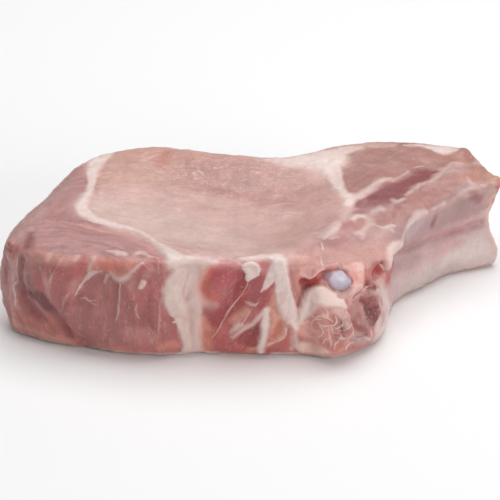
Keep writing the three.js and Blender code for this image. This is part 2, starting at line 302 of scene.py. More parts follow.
WASHES: tuple[Wash, ...] = (
    Wash("cap muscle", ((-58, 23, 5), (-65, 6, 12), (-67, -14, 14), (-53, -24, 12), (-40, -30, 6)),
        Tone.MAUVE, 2.5, 1),
    Wash("cap muscle, front edge", ((-70, -21, 5), (-60, -24, 5), (-48, -24, 5), (-37, -32, 4)),
        Tone.CAP_FRONT, 3, 0.7),
    Wash("cap muscle, back", ((-66, 17, 5), (-74, -6, 5), (-79, -21, 4)), Tone.CAP_BACK, 3),
    Wash("cap beside the seam", ((-56, -12, 1), (-51, -14, 1.4), (-44, -16, 1.4), (-37, -24, 1.3),
        (-32, -32, 1.1)), Tone.CAP_WARM, 1.6),
    Wash("red end of the cap", ((-35, -35, 1.6), (-32, -37, 1.8), (-30, -39, 1.4)), Tone.LOBE_END, 1.6),
    # Painted shade in the recess of the cap.
    Wash("recess of the cap", ((-73, -19, 0.8), (-73, -23, 1.3), (-73, -26, 1.1)), Tone.RECESS_SHADE_RED, 1.6, 0.6),
    Wash("back left of the eye", ((-50, 24, 8), (-43, 29, 9), (-29, 27, 10), (-15, 24, 8)), Tone.EYE_WARM, 5),
    Wash("back edge of the eye", ((-45, 37, 2.5), (-33, 38, 3), (-19, 34, 3), (-5, 31, 3)), Tone.EYE_EDGE, 4,
        0.6),
    Wash("bruise of the eye", ((-31, 36, 2), (-32, 31, 2.2)), Tone.EYE_RED, 2.5),
    Wash("back right of the eye", ((-21, 26, 6), (-5, 21, 9), (10, 15, 10), (20, 11, 7)), Tone.EYE_DEEP, 6,
        0.75),
    Wash("front left of the eye", ((-52, 1, 6), (-38, -4, 9), (-21, -14, 9), (-8, -26, 7)), Tone.EYE_PALE, 8),
    Wash("right of the eye", ((25, 13, 4), (22, -3, 7), (15, -14, 6), (10, -27, 4)), Tone.EYE_RIGHT, 4, 0.7),
    Wash("back right muscle", ((33, 18, 8), (40, 25, 12), (50, 30, 12), (59, 32, 8), (64, 31, 4)),
        Tone.BROWN_PINK, 2, 1),
    Wash("back edge strip", ((23, 38, 0.9), (32, 40, 1.4), (42, 39, 2), (48, 39, 1.2)), Tone.TAN_PINK, 1.2,
        0.95),
    Wash("end of the back muscle", ((66, 31, 2.5), (71, 35, 4), (74, 35, 4)), Tone.ORANGE_BROWN, 2.5),
    Wash("meat between the ribs", ((24, -24, 6), (32, -9, 8), (43, -5, 9), (55, 3, 9), (66, 14, 9),
        (75, 20, 7)), Tone.ROSE, 2.5, 1),
    Wash("darker meat between the ribs", ((39, -1, 3), (47, -1, 4), (59, 7, 5), (67, 14, 4)), Tone.ROSE_DEEP,
        4, 0.7),
    Wash("mauve meat by the spine", ((19, -26, 1.6), (24, -22, 1.8), (29, -17, 1.6)), Tone.ROSE_MAUVE, 1.8,
        0.75),
    Wash("right end", ((75, 19, 4), (77, 20, 6), (79, 19, 4)), Tone.ORANGE_BROWN2, 3),
    Wash("right tip", ((81, 21, 2), (82, 19, 3)), Tone.CREAM, 1.5),
    Wash("dark strip", ((35, 5, 1.8), (38, 5, 3.2), (42, 7, 4.3), (47, 11, 4.8), (53, 15, 4.2), (58, 23, 3),
        (61, 24, 1.6)), Tone.WINE, 1.6, 1),
    Wash("tail of the dark strip", ((34, 0, 1.6), (36, 1, 1.8), (39, 2, 1.3)), Tone.WINE_SOFT, 1.2),
    Wash("small red muscle", ((28, -11, 0.8), (30, -7, 1.6), (33, -6, 2.4), (35, -6, 2.2)), Tone.ROSE_RED,
        1.2),
    Wash("flesh above the joint", ((16, -38, 3), (22, -30, 4), (29, -28, 4), (35, -24, 5), (41, -19, 4)),
        Tone.PEACH_PINK, 3.5),
    Wash("left side", ((-80, -25, 26, 8), (-80, -29, 18, 8), (-76, -31, 12, 8)), Tone.LEFT_SIDE, 3, 1),
    Wash("left side, low", ((-78, -30, 12, 4), (-73, -32, 9, 4), (-67, -34, 8, 3)), Tone.LEFT_LOW, 2.5),
    Wash("left bulge", ((-79, -23, 32, 1.8), (-77, -26, 32, 2.2), (-78, -27, 30, 1.2)), Tone.LEFT_BULGE, 1.4),
    # Painted shade in the left recess.
    Wash("left recess", ((-74, -19, 34, 0.9), (-73, -23, 34, 1.5), (-73, -27, 33, 1)), Tone.RECESS_SHADE_RED, 1.8,
        0.55),
    Wash("left ridge", ((-76, -28, 32, 0.5), (-77, -28, 29, 0.9), (-78, -28, 26, 1), (-78, -28, 22, 0.9),
        (-78, -29, 17, 0.8), (-78, -30, 12, 0.5)), Tone.STREAK, 0.8, 0.7),
    # Partly painted shade, in the left groove.
    Wash("left groove", ((-76, -28, 30, 0.5), (-76, -28, 25, 0.9), (-76, -29, 19, 1.4)), Tone.VALLEY_WALL_SHADED,
        0.9),
    Wash("outline of the left end", ((-81, -23, 29, 0.8), (-82, -23, 25, 1.3), (-82, -25, 21, 1.1),
        (-82, -25, 17, 0.7)), Tone.LEFT_DARK, 0.9),
    # Painted shade on the valley's left wall, over its own red.
    Wash("valley, left wall", ((-75, -28, 30, 0.8), (-76, -28, 23, 1.1), (-76, -29, 18, 1.6),
        (-74, -31, 12, 2)), Tone.VALLEY_WALL_SHADED, 1),
    Wash("valley, grey fold", ((-73, -29, 32, 0.5), (-73, -30, 29, 1), (-73, -29, 25, 1.6),
        (-73, -30, 22, 1.8), (-72, -32, 21, 1.3)), Tone.FLAP_GREY, 0.8, 0.95),
    Wash("valley, fold edge", ((-72.9, -29.4, 31.8, 0.3), (-74.1, -28.7, 27.7, 0.4), (-74.6, -28.7, 24, 0.45),
        (-74.4, -29.3, 21.3, 0.4), (-73.5, -29.6, 19.2, 0.3)), Tone.STREAK, 0.5),
    Wash("lobe, left flank", ((-69, -33, 31, 1.4), (-68, -34, 28, 1.3), (-67, -35, 24, 1.3),
        (-65, -37, 20, 1.3), (-63, -38, 15, 1.3)), Tone.MAUVE_PINK, 1.6, 0.5),
    # Painted shade at the valley's darkest.
    Wash("valley, darkest", ((-72, -31, 18, 1.6), (-70, -34, 18, 2.2), (-68, -35, 16, 2.2),
        (-66, -36, 14, 1.4)), Tone.VALLEY_SHADE_DARK, 1.3, 0.95),
    # Painted shade on the valley's floor, over its own red.
    Wash("valley, left floor", ((-75, -29, 18, 0.8), (-74, -30, 15, 1.2), (-72, -31, 12, 1.6),
        (-69, -33, 10, 1.4)), Tone.VALLEY_RED_SHADED, 1.4),
    # Painted shade at the valley's end, over its own red.
    Wash("valley, end", ((-65, -36, 13, 1.2), (-63, -36, 10, 1.2), (-61, -35, 6, 1), (-59, -35, 4, 0.6)),
        Tone.VALLEY_RED_SHADED, 1.4),
    # Partly painted light thrown up from the floor.
    Wash("foot of the left end", ((-81, -24, 4, 0.5), (-79, -27, 4, 0.8), (-75, -30, 5, 0.8),
        (-70, -33, 4, 0.8), (-64, -35, 3, 0.8), (-60, -36, 2, 0.7)), Tone.FOOT_LEFT_FLOOR_LIT, 1.5),
    Wash("big lobe", ((-67, -30, 34, 6), (-59, -34, 32, 8), (-49, -35, 32, 8), (-40, -38, 34, 8)), Tone.LOBE,
        3, 1),
    Wash("lobe, red under the brow", ((-67, -34, 29, 1.5), (-65, -35, 29, 2.4), (-62, -36, 26, 2.6),
        (-63, -37, 23, 1.6)), Tone.LOBE_RED, 2),
    Wash("lobe, deep red", ((-62, -36, 29, 1.6), (-59, -36, 29, 2.4), (-56, -35, 30, 2)), Tone.LOBE_DEEP,
        1.6),
    Wash("lobe, red right", ((-55, -33, 33, 0.8), (-55, -35, 31, 1.2), (-55, -36, 29, 1.2)), Tone.LOBE_DEEP,
        1.4, 0.7),
    Wash("lobe, lower left", ((-64, -37, 22, 2.2), (-63, -38, 19, 2.2), (-60, -38, 13, 2)), Tone.LOBE_LOW, 2),
    Wash("dark of the lobe", ((-56, -39, 20, 3), (-53, -38, 24, 4), (-49, -38, 26, 4), (-46, -41, 24, 5),
        (-47, -42, 19, 7), (-54, -40, 16, 7), (-52, -41, 10, 6), (-43, -43, 12, 6)), Tone.DARK_MAUVE, 2, 1),
    Wash("dark of the lobe, top", ((-54, -38, 25, 1.4), (-51, -37, 28, 1.6), (-48, -38, 27, 1.8),
        (-46, -40, 25, 1.6)), Tone.DARK_TOP, 1.5),
    Wash("dark of the lobe, pale", ((-50, -39, 24, 1.4), (-49, -41, 20, 1.8), (-50, -41, 17, 1.4)),
        Tone.LOBE_LOW2, 2, 0.5),
    Wash("orange band", ((-51, -35, 32, 1.4), (-48, -36, 32, 2.6), (-44, -37, 32, 3), (-41, -38, 33, 2.6),
        (-39, -38, 34, 1.6)), Tone.ORANGE_RED, 1.4, 1),
    Wash("orange band, core", ((-48, -36, 32, 1.2), (-45, -37, 32, 1.8), (-43, -38, 32, 1.2)),
        Tone.ORANGE_CORE, 1.5, 0.7),
    Wash("red end of the lobe", ((-34, -40, 34, 4), (-33, -42, 29, 4.5), (-34, -43, 23, 4), (-33, -44, 16, 5),
        (-32, -44, 9, 4)), Tone.LOBE_END, 2.5, 1),
    Wash("dark in the red end", ((-33, -43, 23, 1.6), (-33, -44, 20, 2.6), (-34, -44, 16, 2.6),
        (-32, -44, 13, 2)), Tone.LOBE_END_DARK, 2),
    Wash("lobe, pale low", ((-40, -44, 11, 2), (-36, -44, 10, 2.6), (-33, -44, 9, 2.2)), Tone.LOBE_LOW2, 2,
        0.75),
    Wash("bright red end", ((-28, -43, 17, 1.6), (-28, -43, 13, 2.2), (-28, -43, 8, 2.6)), Tone.RED_BRIGHT,
        1.8),
    # Partly painted light thrown up from the floor.
    Wash("foot of the red end", ((-31, -43, 5, 1.2), (-27, -43, 6, 1.4), (-25, -42, 5, 0.8)),
        Tone.ORANGE_FOOT_FLOOR_LIT, 1.2),
    # Partly painted light thrown up from the floor.
    Wash("foot of the lobe", ((-56, -36, 2, 0.4), (-50, -40, 4, 0.5), (-42, -42, 3, 0.6), (-35, -41, 1, 0.7)),
        Tone.ORANGE_FOOT3_FLOOR_LIT, 1, 0.6),
    Wash("middle", ((-13, -41, 33, 7), (-6, -42, 26, 10), (-13, -42, 15, 8), (-6, -42, 9, 9), (2, -43, 9, 7),
        (3, -42, 31, 5)), Tone.MID_RED, 3, 1),
    Wash("middle, pink brow", ((-15, -40, 34, 1), (-10, -41, 35, 1.5), (-5, -41, 35, 1.3)), Tone.MID_PINK,
        1.3, 0.95),
    Wash("middle, wine top", ((-15, -41, 32, 1.8), (-12, -41, 31, 2.6), (-8, -42, 31, 2.8), (-5, -42, 30, 2)),
        Tone.MID_WINE, 1.8),
    Wash("middle, dark core", ((-3, -42, 32, 1.4), (-4, -42, 28, 2.2), (-5, -43, 24, 2.2), (-7, -43, 21, 2.2),
        (-11, -42, 17, 2.2), (-13, -42, 14, 1.8)), Tone.MID_DARK, 2),
    Wash("middle, dark top right", ((1, -41, 35, 1.4), (3, -41, 35, 2.2), (3, -42, 33, 1.6)), Tone.MID_WINE2,
        1.2),
    Wash("middle, mauve right", ((1, -42, 31, 1.2), (1, -43, 27, 1.8), (0, -43, 24, 1.8)), Tone.GREY_PINK,
        1.5),
    Wash("middle, fringe left", ((-15, -41, 34, 0.9), (-16, -41, 31, 1.2), (-18, -41, 27, 1.2),
        (-18, -41, 24, 1.2), (-17, -41, 22, 1)), Tone.BAND_ORANGE, 1.4),
    Wash("middle, orange left", ((-16, -41, 27, 1.4), (-15, -42, 25, 1.8), (-13, -42, 23, 1.2)),
        Tone.ORANGE_RED2, 1.6),
    Wash("middle, orange below", ((-17, -41, 14, 1.4), (-16, -41, 10, 2), (-16, -41, 4, 2)), Tone.MID_ORANGE,
        1.6),
    Wash("middle, red below", ((-12, -42, 9, 2.5), (-8, -42, 5, 2.5), (-3, -42, 3, 1.6)), Tone.MID_BELOW,
        2.4),
    Wash("middle, orange streak", ((-7, -43, 15, 1.1), (-5, -43, 17, 1.2), (-3, -43, 19, 0.9)),
        Tone.ORANGE_SEAM, 1.4),
    Wash("middle, red right", ((1, -43, 21, 1.2), (3, -43, 24, 1.8), (5, -42, 26, 1.4)), Tone.MID_RED2, 1.4),
    Wash("middle, orange right", ((6, -42, 26, 0.6), (6, -42, 22, 1), (5, -43, 19, 1.4)), Tone.ORANGE_SEAM,
        1.2),
    # Painted shade in the hollow, over its own red.
    Wash("dark hollow", ((0, -43, 13, 1.4), (-1, -43, 10, 2.4), (-3, -42, 8, 2.6), (0, -42, 7, 2)),
        Tone.HOLLOW_SHADE_RED, 1.2, 0.95),
    # Partly painted light thrown up from the floor.
    Wash("foot of the hollow", ((-2, -42, 3, 0.8), (0, -42, 4, 0.8)), Tone.ORANGE_FOOT2_FLOOR_LIT, 1, 0.7),
    Wash("orange right", ((6, -42, 17, 1.2), (7, -42, 14, 2), (7, -42, 11, 2.4), (6, -42, 8, 1.6)),
        Tone.ORANGE_PATCH, 1.3, 1),
    Wash("orange right, core", ((8, -42, 14, 0.9), (7, -42, 11, 1.3), (6, -42, 9, 1)), Tone.ORANGE_PATCH2,
        1.1),
    Wash("red fold", ((4, -42, 7, 1), (5, -42, 5, 1.2), (7, -42, 6, 1.5), (10, -42, 6, 1.6),
        (11, -42, 10, 1.2)), Tone.RED_FOLD, 1, 0.95),
    # Partly painted light thrown up from the floor.
    Wash("foot of the middle", ((-14, -40, 1, 0.7), (-7, -40, 1, 0.7), (2, -42, 3, 0.6)), Tone.ORANGE_FOOT2_FLOOR_LIT,
        1, 0.6),
    Wash("lobe of the spine", ((18, -41, 14, 6), (23, -46, 16, 8), (29, -45, 15, 5), (24, -47, 10, 7)),
        Tone.BRAIN, 1.6, 1),
    Wash("lobe, orange left", ((15, -41, 12, 2), (18, -41, 10, 2.6), (20, -44, 9, 2.4)), Tone.BRAIN_ORANGE,
        1.8),
    Wash("lobe, mauve right", ((26, -45, 17, 2), (28, -46, 15, 3), (27, -47, 12, 2.4)), Tone.BRAIN_MAUVE,
        1.8),
    Wash("lobe, red foot", ((21, -46, 9, 1.4), (25, -46, 7, 1.8), (27, -46, 8, 1.2)), Tone.BRAIN_RED, 1.4,
        0.7),
    # Partly painted light thrown up from the floor.
    Wash("lobe, foot", ((16, -41, 4, 1.8), (19, -42, 4, 2), (22, -45, 5, 1.4)), Tone.FOOT_TAN_FLOOR_LIT, 1.4),
    Wash("beside the lobe", ((31, -44, 9, 1.4), (34, -40, 6, 1.6), (38, -37, 4, 1.2)), Tone.FLESH_GREY, 1.3),
    Wash("wall of the notch", ((12, -41, 32, 1.6), (13, -41, 29, 2.4), (14, -41, 25, 2), (14, -41, 23, 1.2)),
        Tone.NOTCH_WALL, 1.4, 1),
    Wash("wall beside the flap", ((11, -40.6, 33.2, 0.5), (11.7, -41.3, 29.2, 0.6), (13, -41.6, 25, 0.6),
        (14.3, -41.7, 20.9, 0.5)), Tone.CRACK, 0.7, 0.75),
    Wash("lip above the notch", ((13, -39, 35, 2), (16, -40, 33, 2), (19, -38, 33, 2), (23, -32, 31, 2),
        (29, -29, 30, 2.2)), Tone.LIP_PINK, 1.8),
    Wash("edge of the lip", ((14.2, -40, 31.4, 0.5), (16.1, -39.4, 29.5, 0.6), (17.8, -38.9, 28.9, 0.5),
        (19.3, -38.5, 30.5, 0.5), (21.3, -37.3, 30.9, 0.6)), Tone.FLESH_PALE, 0.7, 0.7),
    Wash("notch", ((15, -40, 28, 0.8), (17, -39, 27, 1), (19, -39, 27, 0.9), (20, -39, 28, 0.8)),
        Tone.NOTCH_RED, 0.8, 0.95),
    # Painted shade deep in the notch.
    Wash("notch, deep", ((16, -39, 27, 0.9), (16, -40, 24, 1), (15, -41, 22, 0.7), (14, -42, 20, 0.4)),
        Tone.NOTCH_SHADE_DARK, 0.8),
    Wash("notch, bright", ((19, -39, 27.8, 0.5), (20, -38.2, 29.2, 0.7), (21.3, -37.6, 29.6, 0.6)),
        Tone.BLOOD, 0.6),
    Wash("shadow under the lip", ((21.3, -37.6, 28.5, 0.8), (22.9, -36.4, 29.6, 0.9),
        (24.9, -34.8, 30.2, 0.5)), Tone.NOTCH_SHADE, 0.7),
    Wash("left of the knob", ((19, -40, 26, 0.7), (21, -40, 26, 1), (22, -39, 26, 0.8)), Tone.CRACK, 0.8),
    Wash("above right of the knob", ((27.2, -33, 29.9, 0.6), (28.8, -32.5, 29.2, 0.9),
        (30.1, -31.6, 29.4, 0.6)), Tone.NOTCH_RED, 0.6),
    Wash("right edge of the knob", ((28.1, -33.3, 28.5, 0.6), (29.1, -33.4, 27.1, 0.7), (30.5, -33, 25, 0.5)),
        Tone.NOTCH_WALL, 0.6),
    Wash("flesh right of the knob", ((31, -33, 28, 1.8), (34, -32, 26, 2.4), (34, -33, 23, 1.8)),
        Tone.FLESH_PINK, 1.4, 1),
    Wash("pale flesh right of the knob", ((32, -32, 29, 1.2), (34, -31, 28, 1.4), (32, -32, 27, 1.2)),
        Tone.FLESH_PALE, 0.9),
    Wash("red line right of the knob", ((30.4, -31.1, 29.5, 0.3), (30.8, -32.8, 27.1, 0.35),
        (31.4, -33.3, 24.8, 0.35), (33.1, -33.4, 24.1, 0.3)), Tone.FLESH_RED, 0.5),
    Wash("orange flesh right of the knob", ((33, -33, 26, 0.8), (35, -33, 24, 0.9), (34, -34, 23, 0.7)),
        Tone.FLESH_ORANGE, 0.8, 0.75),
    Wash("flesh below the knob", ((28, -38, 22, 1.3), (30, -36, 22, 1.2), (31, -35, 23, 1),
        (33, -34, 24, 0.8)), Tone.FLESH_PALE, 0.9, 1),
    Wash("flesh left of the bone", ((29, -39, 21, 1.2), (30, -40, 20, 1.4)), Tone.FLESH_PALE2, 1.2),
    Wash("red spot", ((28.4, -40, 20.6, 0.4), (28.7, -40.9, 20, 0.3)), Tone.NOTCH_RED, 0.5, 0.7),
    Wash("mauve left of the corner", ((36, -31, 27, 0.8), (36, -31, 25, 1), (36, -32, 23, 0.8)),
        Tone.CORNER_MAUVE, 0.9),
    Wash("red corner", ((42, -21, 24, 0.5), (41, -22, 23, 1.3), (40, -24, 22, 1.8), (38, -28, 23, 1)),
        Tone.BLOOD, 0.8, 0.95),
    # Painted shade in the hole of the corner.
    Wash("dark corner", ((36.4, -32.3, 22.7, 0.9), (36.4, -33.3, 21, 1.1), (37.4, -32.5, 20.2, 0.9),
        (38.9, -28.7, 19.8, 0.6)), Tone.CORNER_SHADE_PURPLE, 0.7, 0.95),
    Wash("right of the bone", ((40, -27, 19, 2.2), (42, -27, 14, 3.4), (44, -22, 5, 3.6), (42, -29, 5, 3),
        (40, -35, 4, 2)), Tone.HEAD_RIM, 2.4),
    Wash("rim right of the bone", ((41, -29, 15, 1), (41, -31, 11, 1.4), (41, -33, 9, 1.4), (39, -35, 7, 1)),
        Tone.HEAD_RIM, 0.8),
    # Painted shade in the hollow under the bone.
    Wash("hollow under the bone", ((31, -43, 15, 0.5), (32, -43, 13, 0.8), (34, -41, 11, 1),
        (36, -39, 8, 0.7)), Tone.HOLLOW_SHADE_MAUVE, 0.9),
    Wash("rib side", ((49, -8, 5, 12), (59, 1, 9, 12), (72, 11, 11, 12), (80, 16, 11, 12)), Tone.LINING, 3,
        1),
    Wash("lining, upper", ((49, -9, 24, 4.5), (55, -1, 25, 5.5), (64, 8, 26, 6), (75, 14, 28, 6)),
        Tone.LINING_GREY, 2.5, 1),
    Wash("lining, edge strip", ((54, -2, 30, 0.8), (59, 1, 30, 1), (66, 9, 30, 1), (71, 12, 31, 0.9),
        (76, 14, 32, 0.9)), Tone.LINING_CORNER, 0.8),
    Wash("lining, dark spots", ((60, 3, 24, 0.9), (60, 4, 27, 0.8)), Tone.LINING_DARK, 1.2),
    Wash("lining, dark spot right", ((74, 13, 30, 1.2), (76, 14, 28, 1.2)), Tone.LINING_DARK, 1.8, 0.75),
    Wash("lining, pale silver", ((51, -5, 25, 2), (53, -4, 27, 2.4), (55, -2, 29, 1.8)), Tone.LINING_PALE,
        1.8),
    Wash("lining, pink", ((50, -5, 20, 1), (57, 2, 20, 1.4), (67, 11, 19, 1.4), (73, 14, 22, 1.6)),
        Tone.LINING_PINK, 2, 0.5),
    Wash("swell of the rib", ((47, -11, 6, 3), (56, -1, 5, 4), (67, 9, 6, 4.5), (79, 15, 7, 5)),
        Tone.RIB_PALE, 3),
    Wash("beside the head", ((43.5, -24, 7, 4), (45, -18, 12, 5), (46.5, -11, 16, 5), (45.5, -15, 4, 4)),
        Tone.LINING, 3, 0.95),
    Wash("rib, whitest", ((65, 7, 8, 1.6), (71, 11, 9, 3), (78, 14, 10, 3.4)), Tone.RIB_WHITE, 3),
    Wash("pink of the rib", ((63, 5, 12, 1), (67, 9, 14, 1.2), (70, 11, 13, 1.4), (71, 12, 13, 0.8)),
        Tone.RIB_PINK, 1.6, 0.65),
    Wash("lavender of the rib", ((46, -11, 15, 1.6), (49, -6, 15, 2), (54, -2, 14, 1.5)), Tone.LINING_GREY,
        2.5, 0.6),
    # Painted shade in the groove above the rib.
    Wash("groove above the rib", ((45, -17, 23, 0.4), (49, -6, 19, 0.5), (56, 0, 18, 0.5), (60, 5, 18, 0.6)),
        Tone.GROOVE_SHADE, 0.8),
    # Painted shade in the groove above the rib.
    Wash("groove above the rib, right", ((60, 5, 18, 0.5), (66, 10, 17, 0.6), (70, 13, 17, 0.6),
        (74, 15, 18, 0.5), (78, 17, 18, 0.5)), Tone.GROOVE_SHADE_PINK, 0.9),
    Wash("end of the rib side", ((81, 16, 31, 1), (81, 17, 25, 1), (80, 18, 20, 0.8), (81, 17, 11, 0.8),
        (83, 17, 6, 1)), Tone.END_TAN, 1.2, 0.75),
    Wash("corner of the lining", ((77, 15, 32, 1.2), (80, 15, 32, 1.4), (79, 15, 27, 1.6)),
        Tone.LINING_CORNER, 1.6, 0.7),
    Wash("ragged foot of the rib side", ((46.4, -10.1, 2, 0.3), (50.2, -4.2, 1.2, 0.45), (54.2, -0.7, 1, 0.3),
        (57.9, 3.4, 0.6, 0.5), (62.9, 7.3, 1, 0.3), (67.8, 11.6, 0.4, 0.45), (73.1, 13.3, 1, 0.3),
        (77.3, 14.5, 1.5, 0.5), (82, 16.7, 2.3, 0.3)), Tone.RAG_BROWN, 0.5),
    Wash("back lean 1", ((16, 38, 19, 1.5), (6, 37, 16, 3), (-4, 37.5, 14, 2), (-9, 38.5, 17, 2.5)),
        Tone.EYE_RED, 2.5, 0.55),
    Wash("back lean 2", ((66, 41, 17, 1.2), (55, 42, 14, 2.5), (44, 42, 16, 1.6), (34, 42, 18, 2.4)),
        Tone.ROSE_DEEP, 2.5, 0.6),
    Wash("back lean 3", ((-22, 42, 18, 1.5), (-32, 44, 15, 3), (-43, 45, 17, 1.6), (-52, 39, 14, 2.6)),
        Tone.BROWN_PINK, 2.5, 0.6),
    Wash("back lean 4", ((-62, 30, 15, 2), (-69, 17, 17, 3)), Tone.EYE_RED, 2.5, 0.5),
    Wash("back, tan foot", ((70, 40, 2, 1.5), (40, 42, 1.5, 1.2), (8, 37, 2, 1.6), (-28, 43, 1.5, 1.4),
        (-60, 31, 2, 1.5)), Tone.ORANGE_BROWN2, 2, 0.7),
    Wash("end face", ((77, 34, 20, 6), (76, 38, 12, 6), (78, 30, 26, 4)), Tone.ORANGE_BROWN2, 3),
    Wash("end face, deep", ((77, 35, 17, 2.5), (76.5, 37, 9, 2.5)), Tone.ROSE_DEEP, 2, 0.7),
)

BONE_WASHES: tuple[Wash, ...] = (
    Wash("lobe side of the head", ((28, -41, 20, 1.6), (29, -43, 18, 1.8), (30, -44, 15, 1.6)),
        Tone.BRAIN_MAUVE, 1.6, 0.7),
    Wash("foot of the head, left", ((31, -44, 11, 1.6), (34, -42, 8, 2), (38, -37, 5, 1.8)), Tone.FLESH_GREY,
        1.4),
    Wash("flesh over the head", ((29, -39, 21, 1.6), (31, -36, 22, 1.6), (32, -35, 22, 1.2)),
        Tone.FLESH_PALE2, 1.1),
    Wash("left of the head", ((32, -39, 20, 1.6), (31, -41, 18, 2), (32, -42, 16, 1.8)), Tone.BONE_PINK, 1.6),
    Wash("foot of the head", ((34, -41, 14, 1), (36, -39, 11, 1.2), (39, -36, 7, 1.4), (41, -33, 5, 1.2)),
        Tone.BONE_GREY, 1.2),
    Wash("rim of the head", ((41, -29, 17, 0.5), (42, -28, 14, 0.7), (42, -29, 10, 0.8), (41, -33, 7, 0.7),
        (38, -37, 7, 0.6)), Tone.HEAD_RIM, 0.8),
    # Painted shade in the hole of the corner, on the bone.
    Wash("dark corner", ((36, -32.6, 22.9, 0.8), (36.4, -33.1, 21.3, 1), (37.7, -32, 20.3, 0.7),
        (38.8, -29.4, 20.6, 0.6)), Tone.CORNER_SHADE_PURPLE, 0.6, 0.95),
    Wash("top of the head", ((34, -35, 21, 0.4), (37, -33, 20, 0.6), (40, -30, 17, 0.6)), Tone.BONE_PALE,
        0.8),
    # Painted shade in the hollow under the head.
    Wash("hollow under the head", ((31, -43, 15, 0.4), (32, -43, 13, 0.7), (34, -41, 11, 0.9),
        (36, -40, 9, 0.6)), Tone.HOLLOW_SHADE_MAUVE, 1),
    Wash("marrow, soft", ((35, -37, 19, 1.2), (37, -35, 17, 2.6), (38, -36, 14, 3.8), (39, -35, 11, 2.6)),
        Tone.MARROW_SOFT, 2, 0.95),
    Wash("marrow, dark", ((34, -37, 19, 0.5), (36, -37, 18, 1), (36, -38, 16, 1.5), (38, -36, 14, 2.2),
        (39, -35, 10, 1.4)), Tone.MARROW, 1.8),
    Wash("ring of the tip", ((80, 24.5, 4, 3.2), (80.5, 24.5, 9, 3.4), (80, 24.5, 14, 3.2)), Tone.HEAD_RIM, 1,
        0.95),
)

